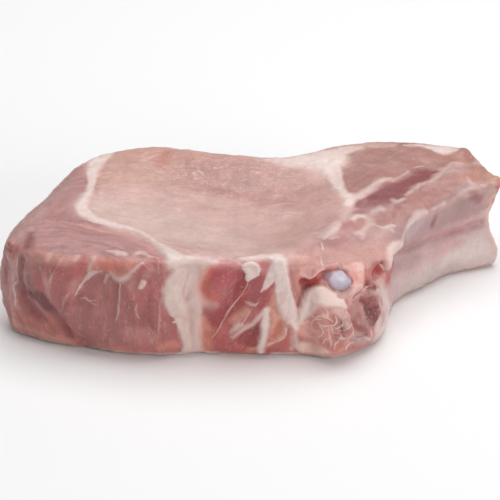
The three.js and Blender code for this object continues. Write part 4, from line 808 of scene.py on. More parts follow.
FOLDS: tuple[Fold, ...] = (
    Fold("side of the big lobe", ((-70, -32, 30, 1), (-70, -33, 27, 1.4), (-69, -34, 23, 1.7),
        (-68, -36, 19, 1.9), (-64, -37, 13, 1.7), (-61, -35, 6, 1.2)), -1.3),
    Fold("edge of the big lobe", ((-68, -30, 33, 1.6), (-68, -34, 29, 1.8), (-66, -36, 22, 1.8),
        (-62, -38, 16, 1.6)), 0.4),
    Fold("left fold 1", ((-73, -30, 31, 0.8), (-74, -29, 26, 1.1), (-74, -29, 23, 1.2), (-72, -31, 20, 1)),
        0.4),
    Fold("left fold 2", ((-75, -29, 29, 0.8), (-76, -28, 23, 1.1), (-76, -29, 18, 1)), -0.8),
    Fold("left fold 3", ((-77, -28, 28, 0.9), (-78, -28, 24, 0.9), (-78, -29, 18, 0.9), (-79, -29, 10, 0.8)),
        0.3),
    Fold("left fold 4", ((-80.1, -24.9, 26.2, 0.7), (-80.2, -26.3, 21, 0.8), (-80.4, -27, 16.1, 0.6)), -0.5),
    Fold("left notch of the outline", ((-81.9, -20.6, 29.4, 0.6), (-80.5, -23.7, 30.8, 0.6),
        (-79.4, -25.6, 30.7, 0.5)), -0.9),
    Fold("left recess", ((-74, -19, 34, 1.1), (-73, -23, 34, 1.4), (-73, -27, 33, 1.2)), -0.35),
    Fold("left bulge", ((-80, -23, 32, 1.4), (-78, -21, 33, 1.6), (-75, -18, 34, 1.4)), 0.6),
    Fold("lobe flute 1", ((-56, -39, 20, 0.8), (-57, -40, 13, 0.9), (-55, -38, 6, 0.8)), -0.3),
    Fold("lobe flute 2", ((-49, -39, 24, 0.8), (-50, -41, 18, 0.9), (-51, -41, 8, 0.8)), -0.3),
    Fold("lobe flute 3", ((-45, -41, 24, 0.8), (-46, -43, 18, 0.9), (-47, -42, 9, 0.8)), -0.35),
    Fold("lobe flute 4", ((-40, -43, 23, 0.8), (-41, -44, 16, 0.8), (-41, -43, 8, 0.8)), -0.3),
    Fold("arc under the orange", ((-57.3, -38.4, 21.1, 0.7), (-55.3, -37.7, 24.1, 0.8),
        (-52.6, -37.1, 27.1, 0.9), (-48.1, -37.9, 28.7, 0.9), (-43.9, -40.1, 27, 0.9),
        (-39.6, -41, 29.7, 0.8)), -0.6),
    Fold("orange band", ((-51, -35, 31, 1.2), (-47, -36, 32, 1.6), (-43, -38, 32, 1.6), (-39, -38, 34, 1)),
        0.5),
    Fold("crease of the band", ((-21.3, -41.2, 26.2, 0.3), (-21.7, -41.4, 23.7, 0.4),
        (-21.7, -41.6, 21.2, 0.3), (-21.1, -41.6, 16.8, 0.3), (-20.9, -41.4, 10.6, 0.4),
        (-21, -40.9, 5, 0.3)), -0.4),
    Fold("lump of the band 1", ((-20, -41, 22, 1.2), (-19, -41, 19, 1)), 0.6),
    Fold("lump of the band 2", ((-20, -41, 14, 1), (-19, -41, 8, 1.2)), 0.5),
    Fold("lump of the band 3", ((-25, -42, 26, 1.2), (-25, -43, 21, 1.2)), 0.4),
    Fold("crease of the band, left", ((-26.5, -43.1, 16.2, 0.4), (-24.6, -42.6, 15.9, 0.5),
        (-22.7, -42, 15.5, 0.4)), -0.5),
    Fold("edge of the seam band", ((-29, -42, 29, 0.8), (-30, -43, 23, 0.8), (-28, -43, 18, 0.8),
        (-26, -43, 9, 0.8)), -0.4),
    Fold("right edge of the seam band", ((-15.9, -41.3, 27.4, 0.7), (-15.3, -41.9, 17.6, 0.7),
        (-16.7, -41, 8.4, 0.7)), -0.3),
    Fold("fold of the red, dark 1", ((11.2, -42.2, 11.1, 0.35), (11.6, -42.1, 7.2, 0.4),
        (11, -41.7, 3.2, 0.4)), -0.7),
    Fold("dark hollow", ((0, -43, 12, 1), (-2, -43, 9, 1.6)), -0.8),
    Fold("wine bulge", ((-13, -42, 29, 3), (-9, -42, 28, 3)), 0.6),
    Fold("lip of the notch", ((14, -40, 32, 0.9), (16, -39, 30, 1), (18, -39, 29, 0.9), (20, -38, 31, 0.9),
        (22, -37, 31, 0.9), (24, -35, 31, 0.8), (28, -32, 30, 0.8), (31, -30, 30, 0.9)), 1),
    Fold("notch", ((15.2, -39.8, 28, 0.9), (17.1, -39.2, 26.9, 1), (19, -39, 27.8, 0.9), (21, -37.8, 29, 0.9),
        (22.9, -36.4, 29.3, 0.7)), -2.2),
    Fold("notch, deep", ((15.9, -39.8, 26.1, 0.6), (14.9, -40.9, 23.1, 0.6), (13.7, -42.1, 19.7, 0.6),
        (12.8, -42.1, 14.8, 0.5)), -1.2),
    Fold("flesh above the knob", ((26.5, -33.3, 30, 0.6), (28.8, -32.5, 29.2, 0.6), (30.1, -32.8, 27.8, 0.7)),
        0.7),
    Fold("flesh below the knob", ((26.2, -37.9, 22.3, 0.7), (28.1, -37.5, 21.7, 1), (30.1, -35.8, 22.2, 1),
        (32.1, -34.4, 23.2, 0.9)), 1.1),
    Fold("flesh right of the knob", ((32, -32, 28, 1.2), (33, -32, 28, 1.3), (33, -33, 26, 1.1)), 1),
    Fold("line right of the knob", ((30.8, -31.3, 29.2, 0.4), (30.8, -32.9, 26.8, 0.5),
        (31.8, -33.4, 24.5, 0.4)), -0.9),
    Fold("mauve left of the corner", ((35.7, -30.1, 27.8, 0.6), (36, -31.6, 25.3, 0.7),
        (35.7, -32.6, 23.3, 0.6)), -0.8),
    Fold("red corner", ((41.7, -21.4, 23.8, 0.7), (40.7, -22.9, 22.4, 1.2), (39, -25.1, 21.4, 1.2)), -1.6),
    Fold("dark corner", ((36, -33, 22, 0.9), (37, -33, 21, 1.1), (38, -31, 20, 0.8)), -1.1),
    Fold("hollow under the bone", ((32, -43, 14, 0.8), (34, -42, 12, 1), (36, -39, 8, 0.8)), -1.3),
    Fold("edge of the lobe", ((29, -40.7, 19.9, 0.6), (29.9, -42.8, 17.5, 0.7), (30.9, -43.9, 14.4, 0.6),
        (33, -42.5, 9, 0.7)), -0.8),
    Fold("rim of the bone", ((28, -40, 21, 1), (30, -36, 22, 1), (33, -35, 23, 1)), 0.35),
    Fold("lobe of the spine", ((20, -44, 17, 1.4), (24, -46, 16, 1.8), (28, -46, 15, 1.6)), 0.5),
    Fold("lining bump", ((73, 13, 30, 1.8), (71, 12, 27, 1.6)), 0.5),
    Fold("rib bumps 1", ((54, -3, 13, 2.2), (55, -3, 10, 2.2)), 0.4),
    Fold("groove of the lining", ((45, -16.5, 22.8, 0.6), (49.1, -5.1, 18.9, 0.7), (54.8, -0.5, 18.2, 0.8),
        (61.1, 5.8, 17.3, 0.8), (69.4, 12.4, 17.1, 0.8), (78, 16.6, 17.8, 0.8)), -1.3),
    Fold("flap of the lining", ((46, -12, 25, 0.9), (44, -16, 24, 0.9), (43, -20, 22, 0.8)), 0.8),
    Fold("end nick 1", ((81.9, 16.1, 31.7, 0.6), (81.3, 15.5, 30.9, 0.6)), -0.9),
    Fold("end nick 2", ((81.3, 17.1, 26.2, 0.7), (80.3, 16.4, 25.8, 0.7)), -1),
    Fold("end hollow", ((81, 19, 15, 1.8), (81, 18, 13, 1.6)), -0.5),
    Fold("end corner", ((83, 17, 6, 1.2), (83, 17, 3, 1.2)), 1),
    Fold("nick of the back", ((73, 29, 0.9), (74, 32, 1), (75, 35, 1)), -1.3),
    Fold("bump of the tip", ((82, 20, 0.8), (83, 20, 0.8)), 0.7),
    Fold("bump of the back", ((72, 36, 1.2), (73, 38, 1.2)), 0.7),
    Fold("back crease 1", ((36, 43, 30, 0.9), (37, 43, 18, 1.2), (35, 43, 4, 0.9)), -0.7),
    Fold("back crease 2", ((-16, 40, 29, 0.8), (-15, 40, 17, 1.1), (-17, 41, 6, 0.8)), -0.6),
    Fold("back crease 3", ((-58, 35, 28, 0.8), (-58, 35, 14, 1.1), (-56, 37, 5, 0.8)), -0.6),
    Fold("back ridge 1", ((64, 41, 20, 1.6), (46, 42, 20, 1.8), (28, 41, 18, 1.5)), 0.5),
    Fold("back ridge 2", ((0, 37, 22, 1.6), (-24, 43, 20, 1.8), (-46, 43, 22, 1.5)), 0.5),
)

GRAINS: tuple[Grain, ...] = (
    Grain("cap muscle", ((-58, 17, 0), (-66, 10, 0), (-74, -8, 0), (-79, -22, 0)), 0.9),
    Grain("cap muscle, front", ((-73, -18, 0), (-60, -18, 0), (-44, -23, 0), (-32, -34, 0)), 0.9),
    Grain("eye, back", ((-48, 28, 0), (-29, 28, 0), (-5, 22, 0), (15, 18, 0), (28, 9, 0)), 0.3),
    Grain("eye, front", ((-52, 6, 0), (-32, 2, 0), (-8, -10, 0), (15, -22, 0)), 0.25),
    Grain("right back muscle", ((32, 12, 0), (41, 22, 0), (57, 33, 0), (73, 36, 0)), 0.35),
    Grain("dark strip", ((32, -1, 0), (44, 8, 0), (64, 26, 0)), 0.5),
    Grain("between the ribs 1", ((26, -26, 0), (31, -14, 0), (39, -2, 0)), 0.5),
    Grain("between the ribs 2", ((39, -11, 0), (42, -12, 0), (46, -12, 0)), 0.5),
    Grain("between the ribs 3", ((43, 2, 0), (49, -2, 0), (51, -5, 0)), 0.5),
    Grain("between the ribs 4", ((57, 14, 0), (55, 7, 0), (58, 1, 0)), 0.5),
    Grain("between the ribs 5", ((65, 22, 0), (62, 13, 0), (65, 8, 0)), 0.5),
    Grain("between the ribs 6", ((73, 28, 0), (72, 18, 0), (75, 14, 0)), 0.5),
    Grain("left side", ((-80, -25, 31, 0), (-80, -26, 20, 0), (-79, -29, 10, 0)), 1.5),
    Grain("valley", ((-73, -28, 33, 0), (-74, -29, 22, 0), (-69, -33, 13, 0)), 1.4),
    Grain("lobe, left", ((-68, -35, 22, 0), (-64, -34, 31, 0), (-58, -29, 34, 0)), 0.75),
    Grain("lobe, upper", ((-51, -37, 29, 0), (-50, -35, 32, 0), (-46, -31, 34, 0)), 0.4),
    Grain("lobe, low left", ((-58, -36, 1, 0), (-60, -39, 13, 0), (-56, -38, 22, 0)), 0.8),
    Grain("lobe, low middle", ((-50, -39, 3, 0), (-49, -42, 17, 0), (-47, -38, 29, 0)), 0.8),
    Grain("lobe, low right", ((-39, -43, 4, 0), (-40, -44, 16, 0), (-41, -42, 26, 0)), 0.8),
    Grain("lobe, end", ((-31, -43, 5, 0), (-32, -44, 20, 0), (-33, -39, 34, 0)), 0.8),
    Grain("seam band", ((-21, -41, 2, 0), (-23, -42, 18, 0), (-22, -41, 33, 0)), 0.3),
    Grain("middle, left", ((-16, -41, 3, 0), (-11, -42, 17, 0), (-3, -42, 32, 0)), 0.7),
    Grain("middle, right", ((-7, -41, 3, 0), (-2, -43, 15, 0), (5, -42, 26, 0)), 0.7),
    Grain("flap", ((11, -42, 9, 0), (10, -42, 22, 0), (8, -40, 35, 0)), 0.3),
    Grain("lobe of the spine", ((14, -42, 5, 0), (21, -45, 15, 0), (29, -46, 13, 0)), 0.2),
    Grain("rib side, low", ((47, -12, 8, 0), (63, 5, 9, 0), (80, 15, 10, 0)), 0.3),
    Grain("rib side, high", ((46, -15, 23, 0), (63, 7, 22, 0), (79, 16, 26, 0)), 0.3),
)


@dataclass(frozen=True)
class Bumps:
    """Smooth lumps on a skin: their size in mm, what sets their pattern apart, their height in mm."""

    size: float
    seed: float
    height: float


@dataclass(frozen=True)
class Pattern:
    """A noise pattern of a material: its scale, detail, roughness and distortion."""

    scale: float
    detail: float = 2.0
    rough: float = 0.5
    twist: float = 0.0


@dataclass(frozen=True)
class Glow:
    """How light spreads below a surface: its share, its reach in each colour, and a scale in mm."""

    share: float
    reach: tuple[float, float, float]
    scale: float


@dataclass(frozen=True)
class Lamp:
    """A square light: its name, place in metres, side in metres and power in watts."""

    name: str
    place: tuple[float, float, float]
    size: float
    power: float


@dataclass
class Near:
    """What a stroke's line is to each vertex near it.

    Attributes:
        which: The vertices near it.
        away: How far each is from the line, in mm.
        side: The same with a sign, below 0 on the line's left.
        along: How far along the line the nearest point is, in mm.
        half: The stroke's half width there, in mm.
    """

    which: Array
    away: Array
    side: Array
    along: Array
    half: Array


@dataclass
class Canvas:
    """A piece's skin as arrays, which strokes are drawn on.

    Attributes:
        mesh: The piece's mesh, in metres.
        places: Its vertices in mm.
        normals: Their normals.
        cut: 1 on the cut faces, falling to 0 on the sides.
        front: 1 where only strokes of the sides are drawn, 0 on the cuts and the back.
        tree: The skin's surface, to find the nearest place on it.
    """

    STEP = 0.6
    WASH_STEP = 1.5
    REACH = 3.0
    THINNEST = 0.1
    FAR = 1e9
    TINY = 1e-6

    mesh: bpy.types.Mesh
    places: Array = field(init=False)
    normals: Array = field(init=False)
    cut: Array = field(init=False)
    front: Array = field(init=False)
    tree: BVHTree = field(init=False)

    def __post_init__(self) -> None:
        """Reads the mesh and tells its faces apart."""
        count = len(self.mesh.vertices)
        flat = np.empty(count * 3)
        self.mesh.vertices.foreach_get("co", flat)
        self.places = flat.reshape(count, 3) / MM
        self.mesh.vertices.foreach_get("normal", flat)
        self.normals = flat.reshape(count, 3).copy()
        self.cut = smoothstep(0.3, 0.65, np.abs(self.normals[:, 2]))
        facing_back = smoothstep(0.1, 0.5, self.normals[:, 1])
        self.front = (1 - self.cut) * (1 - facing_back)
        self.tree = tree_of(self.mesh)

    def line(self, stroke: Stroke, step: float, overrun: float = 0.0) -> tuple[Array, Array]:
        """Samples a stroke's line.

        Args:
            stroke: The stroke.
            step: The distance between samples in mm.
            overrun: How far the line goes straight on past each end, in mm.

        Returns:
            The samples' places, in plan for a stroke of the cuts, and their half widths.
        """
        knots = np.array(stroke.through, dtype=float)
        size = 2 if stroke.skin is Skin.CUTS else 3
        before = 2 * knots[0] - knots[1]
        after = 2 * knots[-1] - knots[-2]
        padded = np.vstack([before, knots, after])
        samples = [knots[0]]
        for i in range(1, len(padded) - 2):
            span = padded[i - 1 : i + 3]
            steps = max(2, math.ceil(float(np.linalg.norm((span[2] - span[1])[:size])) / step))
            samples += [curve(span, k / steps) for k in range(1, steps + 1)]
        drawn = np.array(samples)
        spots = drawn[:, :size]
        widths = np.maximum(drawn[:, size], self.THINNEST)
        if size == 3:
            spots = np.array([self.on_skin(spot) for spot in spots])
        if overrun:
            head = spots[0] - spots[min(2, len(spots) - 1)]
            tail = spots[-1] - spots[max(-3, -len(spots))]
            first = spots[0] + overrun * head / max(self.TINY, np.linalg.norm(head))
            last = spots[-1] + overrun * tail / max(self.TINY, np.linalg.norm(tail))
            spots = np.vstack([first, spots, last])
            widths = np.concatenate([widths[:1], widths, widths[-1:]])
        return spots, widths

    def on_skin(self, spot: Array) -> Array:
        """The nearest place of the skin to a spot, both in mm."""
        hit = self.tree.find_nearest(Vector(spot * MM))[0]
        return np.array(hit) / MM

    def near(self, stroke: Stroke, reach: float, step: float = STEP, overrun: float = 0.0) -> Near:
        """Measures every vertex near a stroke against its line.

        Args:
            stroke: The stroke.
            reach: How far past its half width it is measured, in mm.
            step: The distance between the line's samples in mm.
            overrun: How far the line goes straight on past each end, in mm.

        Returns:
            The measures of the vertices within reach.
        """
        spots, widths = self.line(stroke, step, overrun)
        size = spots.shape[1]
        places = self.places[:, :size]
        room = reach + float(widths.max())
        inside = np.all((places > spots.min(0) - room) & (places < spots.max(0) + room), axis=1)
        which = np.flatnonzero(inside)
        starts = spots[:-1]
        runs = np.diff(spots, axis=0)
        lengths = np.maximum(np.linalg.norm(runs, axis=1), self.TINY)
        passed = np.concatenate([[0], np.cumsum(lengths)])
        away = np.full(len(which), self.FAR)
        segment = np.zeros(len(which), dtype=int)
        share = np.zeros(len(which))
        here = places[which]
        for i, (start, run, length) in enumerate(zip(starts, runs, lengths)):
            t = np.clip((here - start) @ run / length**2, 0, 1)
            distance = np.linalg.norm(here - start - t[:, None] * run, axis=1)
            closer = distance < away
            away[closer] = distance[closer]
            segment[closer] = i
            share[closer] = t[closer]
        ahead = runs[segment]
        apart = here - starts[segment]
        if size == 2:
            side = ahead[:, 0] * apart[:, 1] - ahead[:, 1] * apart[:, 0]
        else:
            side = np.einsum("ij,ij->i", np.cross(self.normals[which], ahead), apart)
        half = widths[segment] * (1 - share) + widths[segment + 1] * share
        close = away < reach + half
        return Near(
            which[close],
            away[close],
            (np.sign(side) * away)[close],
            (passed[segment] + share * lengths[segment])[close],
            half[close],
        )

    def washed(self, wash: Wash) -> tuple[Array, Array]:
        """Finds the vertices near a wash, and how strongly it lies on each, from 0 to 1."""
        near = self.near(wash, wash.soft, step=self.WASH_STEP)
        return near.which, smoothstep(-wash.soft, wash.soft * 0.6, near.half - near.away) * wash.strength

    def paint(self, washes: Sequence[Wash], colors: Array) -> None:
        """Lays washes over colours, one after another.

        Args:
            washes: The washes.
            colors: The colour of every vertex, which is changed.
        """
        for wash in washes:
            which, share = self.washed(wash)
            share = (share * self.allowed(wash, which))[:, None]
            colors[which] += share * (linear(wash.tone.value) - colors[which])

    def under(self, washes: Sequence[Wash]) -> Array:
        """Finds how strongly each vertex lies under any of some washes.

        Args:
            washes: The washes.

        Returns:
            A share from 0 to 1 for each vertex.
        """
        cover = np.zeros(len(self.places))
        for wash in washes:
            which, share = self.washed(wash)
            cover[which] = np.maximum(cover[which], share)
        return cover

    def allowed(self, stroke: Stroke, which: Array) -> Array:
        """Finds how far a stroke counts at some vertices, by the faces it is drawn on.

        Args:
            stroke: The stroke.
            which: The vertices.

        Returns:
            A share from 0 to 1 for each of them.
        """
        if stroke.skin is Skin.CUTS:
            return 1 - self.front[which]
        return 1 - smoothstep(0.84, 0.97, np.abs(self.normals[which, 2]))

    def height(self, bumps: Bumps, places: Array | None = None) -> Array:
        """The height of smooth lumps in mm for each vertex, at its own place or at places given."""
        spots = (self.places if places is None else places) / bumps.size + bumps.seed
        return np.array([noise.fractal(spot, 0.9, 2.0, 3) for spot in spots.tolist()]) * bumps.height

    def store(self, name: str, values: Array) -> None:
        """Keeps values as an attribute of the mesh.

        Args:
            name: The attribute's name.
            values: One value, vector or colour for each vertex.
        """
        kinds = {1: ("FLOAT", "value"), 3: ("FLOAT_VECTOR", "vector"), 4: ("FLOAT_COLOR", "color")}
        kind, key = kinds[1 if values.ndim == 1 else values.shape[1]]
        attribute = self.mesh.attributes.new(name, kind, "POINT")
        attribute.data.foreach_set(key, np.ascontiguousarray(values, dtype=np.float32).ravel())

    def move(self, places: Array) -> None:
        """Moves the mesh's vertices to new places in mm."""
        self.mesh.vertices.foreach_set("co", (places * MM).ravel())
        self.mesh.update()


def curve(span: Array, t: float) -> Array:
    """A point of the smooth curve between the middle two of four knots, at a share from 0 to 1."""
    a, b, c, d = span
    return 0.5 * (2 * b + (c - a) * t + (2 * a - 5 * b + 4 * c - d) * t**2 + (3 * b - a - 3 * c + d) * t**3)


def with_alpha(colors: Array) -> Array:
    """Adds an alpha of 1 to rows of red, green and blue."""
    return np.hstack([colors, np.ones((len(colors), 1))])


def tree_of(mesh: bpy.types.Mesh) -> BVHTree:
    """Makes a mesh's surface ready to measure from.

    Args:
        mesh: The mesh, in metres.

    Returns:
        The surface, in metres.
    """
    shape = bmesh.new()
    shape.from_mesh(mesh)
    tree = BVHTree.FromBMesh(shape)
    shape.free()
    return tree


def node_mesh(node: str) -> bpy.types.Mesh:
    """The mesh of a CAD node, which is only read."""
    return bpy.data.objects[node].data


def in_balls(places: Array, balls: Sequence[Ball]) -> Array:
    """Finds how far places belong to any of some balls.

    Args:
        places: The places in mm.
        balls: The balls, as x, y, z and radius in mm.

    Returns:
        A share from 0 to 1 for each place.
    """
    edge = 0.8
    share = np.zeros(len(places))
    for *middle, radius in balls:
        away = np.linalg.norm(places - middle, axis=1)
        share = np.maximum(share, 1 - smoothstep(radius, radius + edge, away))
    return share


def reworked(
    node: str,
    name: str,
    voxel: float,
    rounds: int,
    beside: Sequence[str] = (),
    margin: float = 1.6,
    lumps: Sequence[Ball] = (),
) -> bpy.types.Object:
    """Copies a CAD node and gives the copy an even, smooth skin.

    Args:
        node: The node's name.
        name: The new piece's name.
        voxel: The length of the new skin's edges in mm.
        rounds: How many times the skin is smoothed.
        beside: Nodes that it touches, beside which it is smoothed only once.
        margin: How near that is, in mm.
        lumps: Balls that become one with it, as x, y, z and radius in mm.

    Returns:
        The new piece.
    """
    shape = bmesh.new()
    shape.from_mesh(node_mesh(node))
    bmesh.ops.remove_doubles(shape, verts=shape.verts, dist=JOIN)
    for *middle, radius in lumps:
        spot = Matrix.Translation(Vector(middle) * MM)
        bmesh.ops.create_icosphere(shape, subdivisions=3, radius=radius * MM, matrix=spot)
    mesh = bpy.data.meshes.new(name)
    shape.to_mesh(mesh)
    shape.free()
    piece = bpy.data.objects.new(name, mesh)
    bpy.context.scene.collection.objects.link(piece)
    even = piece.modifiers.new("even", "REMESH")
    even.mode = "VOXEL"
    even.voxel_size = voxel * MM
    bpy.context.view_layer.update()
    graph = bpy.context.evaluated_depsgraph_get()
    fine = bpy.data.meshes.new_from_object(piece.evaluated_get(graph))
    piece.modifiers.clear()
    shape = bmesh.new()
    shape.from_mesh(fine)
    trees = [tree_of(node_mesh(other)) for other in beside]
    loose = in_balls(np.array([v.co / MM for v in shape.verts]), lumps) > 0.5
    free = [
        v
        for v, is_loose in zip(shape.verts, loose)
        if is_loose or all(tree.find_nearest(v.co, margin * MM)[0] is None for tree in trees)
    ]
    for turn in range(rounds):
        verts = shape.verts if turn == 0 else free
        axes = {f"use_axis_{axis}": True for axis in "xyz"}
        bmesh.ops.smooth_vert(shape, verts=verts, factor=0.5, **axes)
    shape.to_mesh(mesh)
    shape.free()
    bpy.data.meshes.remove(fine)
    mesh.shade_smooth()
    mesh.materials.clear()
    return piece


class Nodes:
    """A short way to write a material's nodes."""

    def __init__(self, name: str) -> None:
        """Starts a material with nothing but its shader and its output.

        Args:
            name: The material's name.
        """
        self.material = bpy.data.materials.new(name)
        self.material.use_nodes = True
        self.tree = self.material.node_tree
        self.shader = self.tree.nodes["Principled BSDF"]

    def link(self, value: Value, socket: Socket) -> None:
        """Puts a number, a colour or another node's output into a socket.

        Args:
            value: What goes in.
            socket: The socket.
        """
        if isinstance(value, bpy.types.NodeSocket):
            self.tree.links.new(value, socket)
        else:
            socket.default_value = value

    def node(self, kind: str, inputs: dict[str | int, Value], **settings: object) -> bpy.types.Node:
        """Adds a node.

        Args:
            kind: Its kind, without the ShaderNode in front.
            inputs: What goes into its sockets, by their names or places.
            settings: Its settings.

        Returns:
            The node.
        """
        node = self.tree.nodes.new(f"ShaderNode{kind}")
        for name, setting in settings.items():
            setattr(node, name, setting)
        for key, value in inputs.items():
            self.link(value, node.inputs[key])
        return node

    def place(self) -> Socket:
        """The place on the piece, in metres."""
        return self.node("TexCoord", {}).outputs["Object"]

    def attribute(self, name: str, output: str = "Fac") -> Socket:
        """An attribute of the piece's own mesh, as Fac, Vector, Color or Alpha."""
        return self.node("Attribute", {}, attribute_name=name).outputs[output]

    def math(self, operation: str, *values: Value) -> Socket:
        """One sum of up to three values."""
        return self.node("Math", dict(enumerate(values)), operation=operation).outputs[0]

    def times(self, *values: Value) -> Socket:
        """The product of two or more values."""
        return reduce(lambda so_far, value: self.math("MULTIPLY", so_far, value), values)

    def plus(self, *values: Value) -> Socket:
        """The total of two or more values."""
        return reduce(lambda so_far, value: self.math("ADD", so_far, value), values)

    def less(self, first: Value, second: Value) -> Socket:
        """What is left of the first value without the second."""
        return self.math("SUBTRACT", first, second)

    def vector(self, operation: str, first: Value, second: Value) -> Socket:
        """One sum of two vectors."""
        return self.node("VectorMath", {0: first, 1: second}, operation=operation).outputs[0]

    def noise(self, place: Value, pattern: Pattern, output: str = "Fac") -> Socket:
        """Reads a noise pattern.

        Args:
            place: Where it is read.
            pattern: The pattern.
            output: Fac for one value, Color for three.

        Returns:
            What it holds there, from 0 to 1.
        """
        names = {"Vector": place, "Scale": pattern.scale, "Detail": pattern.detail}
        names |= {"Roughness": pattern.rough, "Distortion": pattern.twist}
        return self.node("TexNoise", names).outputs[output]

    def centred(self, place: Value, pattern: Pattern) -> Socket:
        """A noise pattern at a place, from -0.5 to 0.5."""
        return self.less(self.noise(place, pattern), 0.5)

    def step(self, value: Value, low: Value, high: Value, bottom: float = 0.0, top: float = 1.0) -> Socket:
        """A smooth rise from bottom to top, while a value goes from low to high."""
        names = {"Value": value, "From Min": low, "From Max": high, "To Min": bottom, "To Max": top}
        return self.node("MapRange", names, interpolation_type="SMOOTHSTEP").outputs["Result"]

    def mix(self, share: Value, first: Value, second: Value, blend: str = "MIX") -> Socket:
        """A mix of two colours, with some share of the second."""
        names = {"Factor": share, "A": first, "B": second}
        return self.node("Mix", names, data_type="RGBA", blend_type=blend).outputs["Result"]

    def split(self, kind: str, value: Socket) -> list[Socket]:
        """The three values of a vector or a colour, by SeparateXYZ or SeparateColor."""
        return list(self.node(kind, {0: value}).outputs)

    def grey(self, value: Socket) -> Socket:
        """A grey colour, as light as a value."""
        return self.node("CombineColor", {0: value, 1: value, 2: value}).outputs["Color"]

    def bump(self, height: Socket, depth: float) -> None:
        """Roughens the surface by a height, of which 1 stands for some depth in mm."""
        node = self.node("Bump", {"Strength": 1.0, "Distance": depth * MM, "Height": height})
        self.tree.links.new(node.outputs["Normal"], self.shader.inputs["Normal"])

    def glow(self, glow: Glow) -> None:
        """Lets light spread below the surface.

        Args:
            glow: How it spreads.
        """
        self.shader.inputs["Subsurface Weight"].default_value = glow.share
        self.shader.inputs["Subsurface Radius"].default_value = glow.reach
        self.shader.inputs["Subsurface Scale"].default_value = glow.scale * MM


def rgba(tone: Tone | FatTone) -> tuple[float, float, float, float]:
    """A tone as a linear colour for a socket."""
    red, green, blue = linear(tone.value)
    return float(red), float(green), float(blue), 1.0


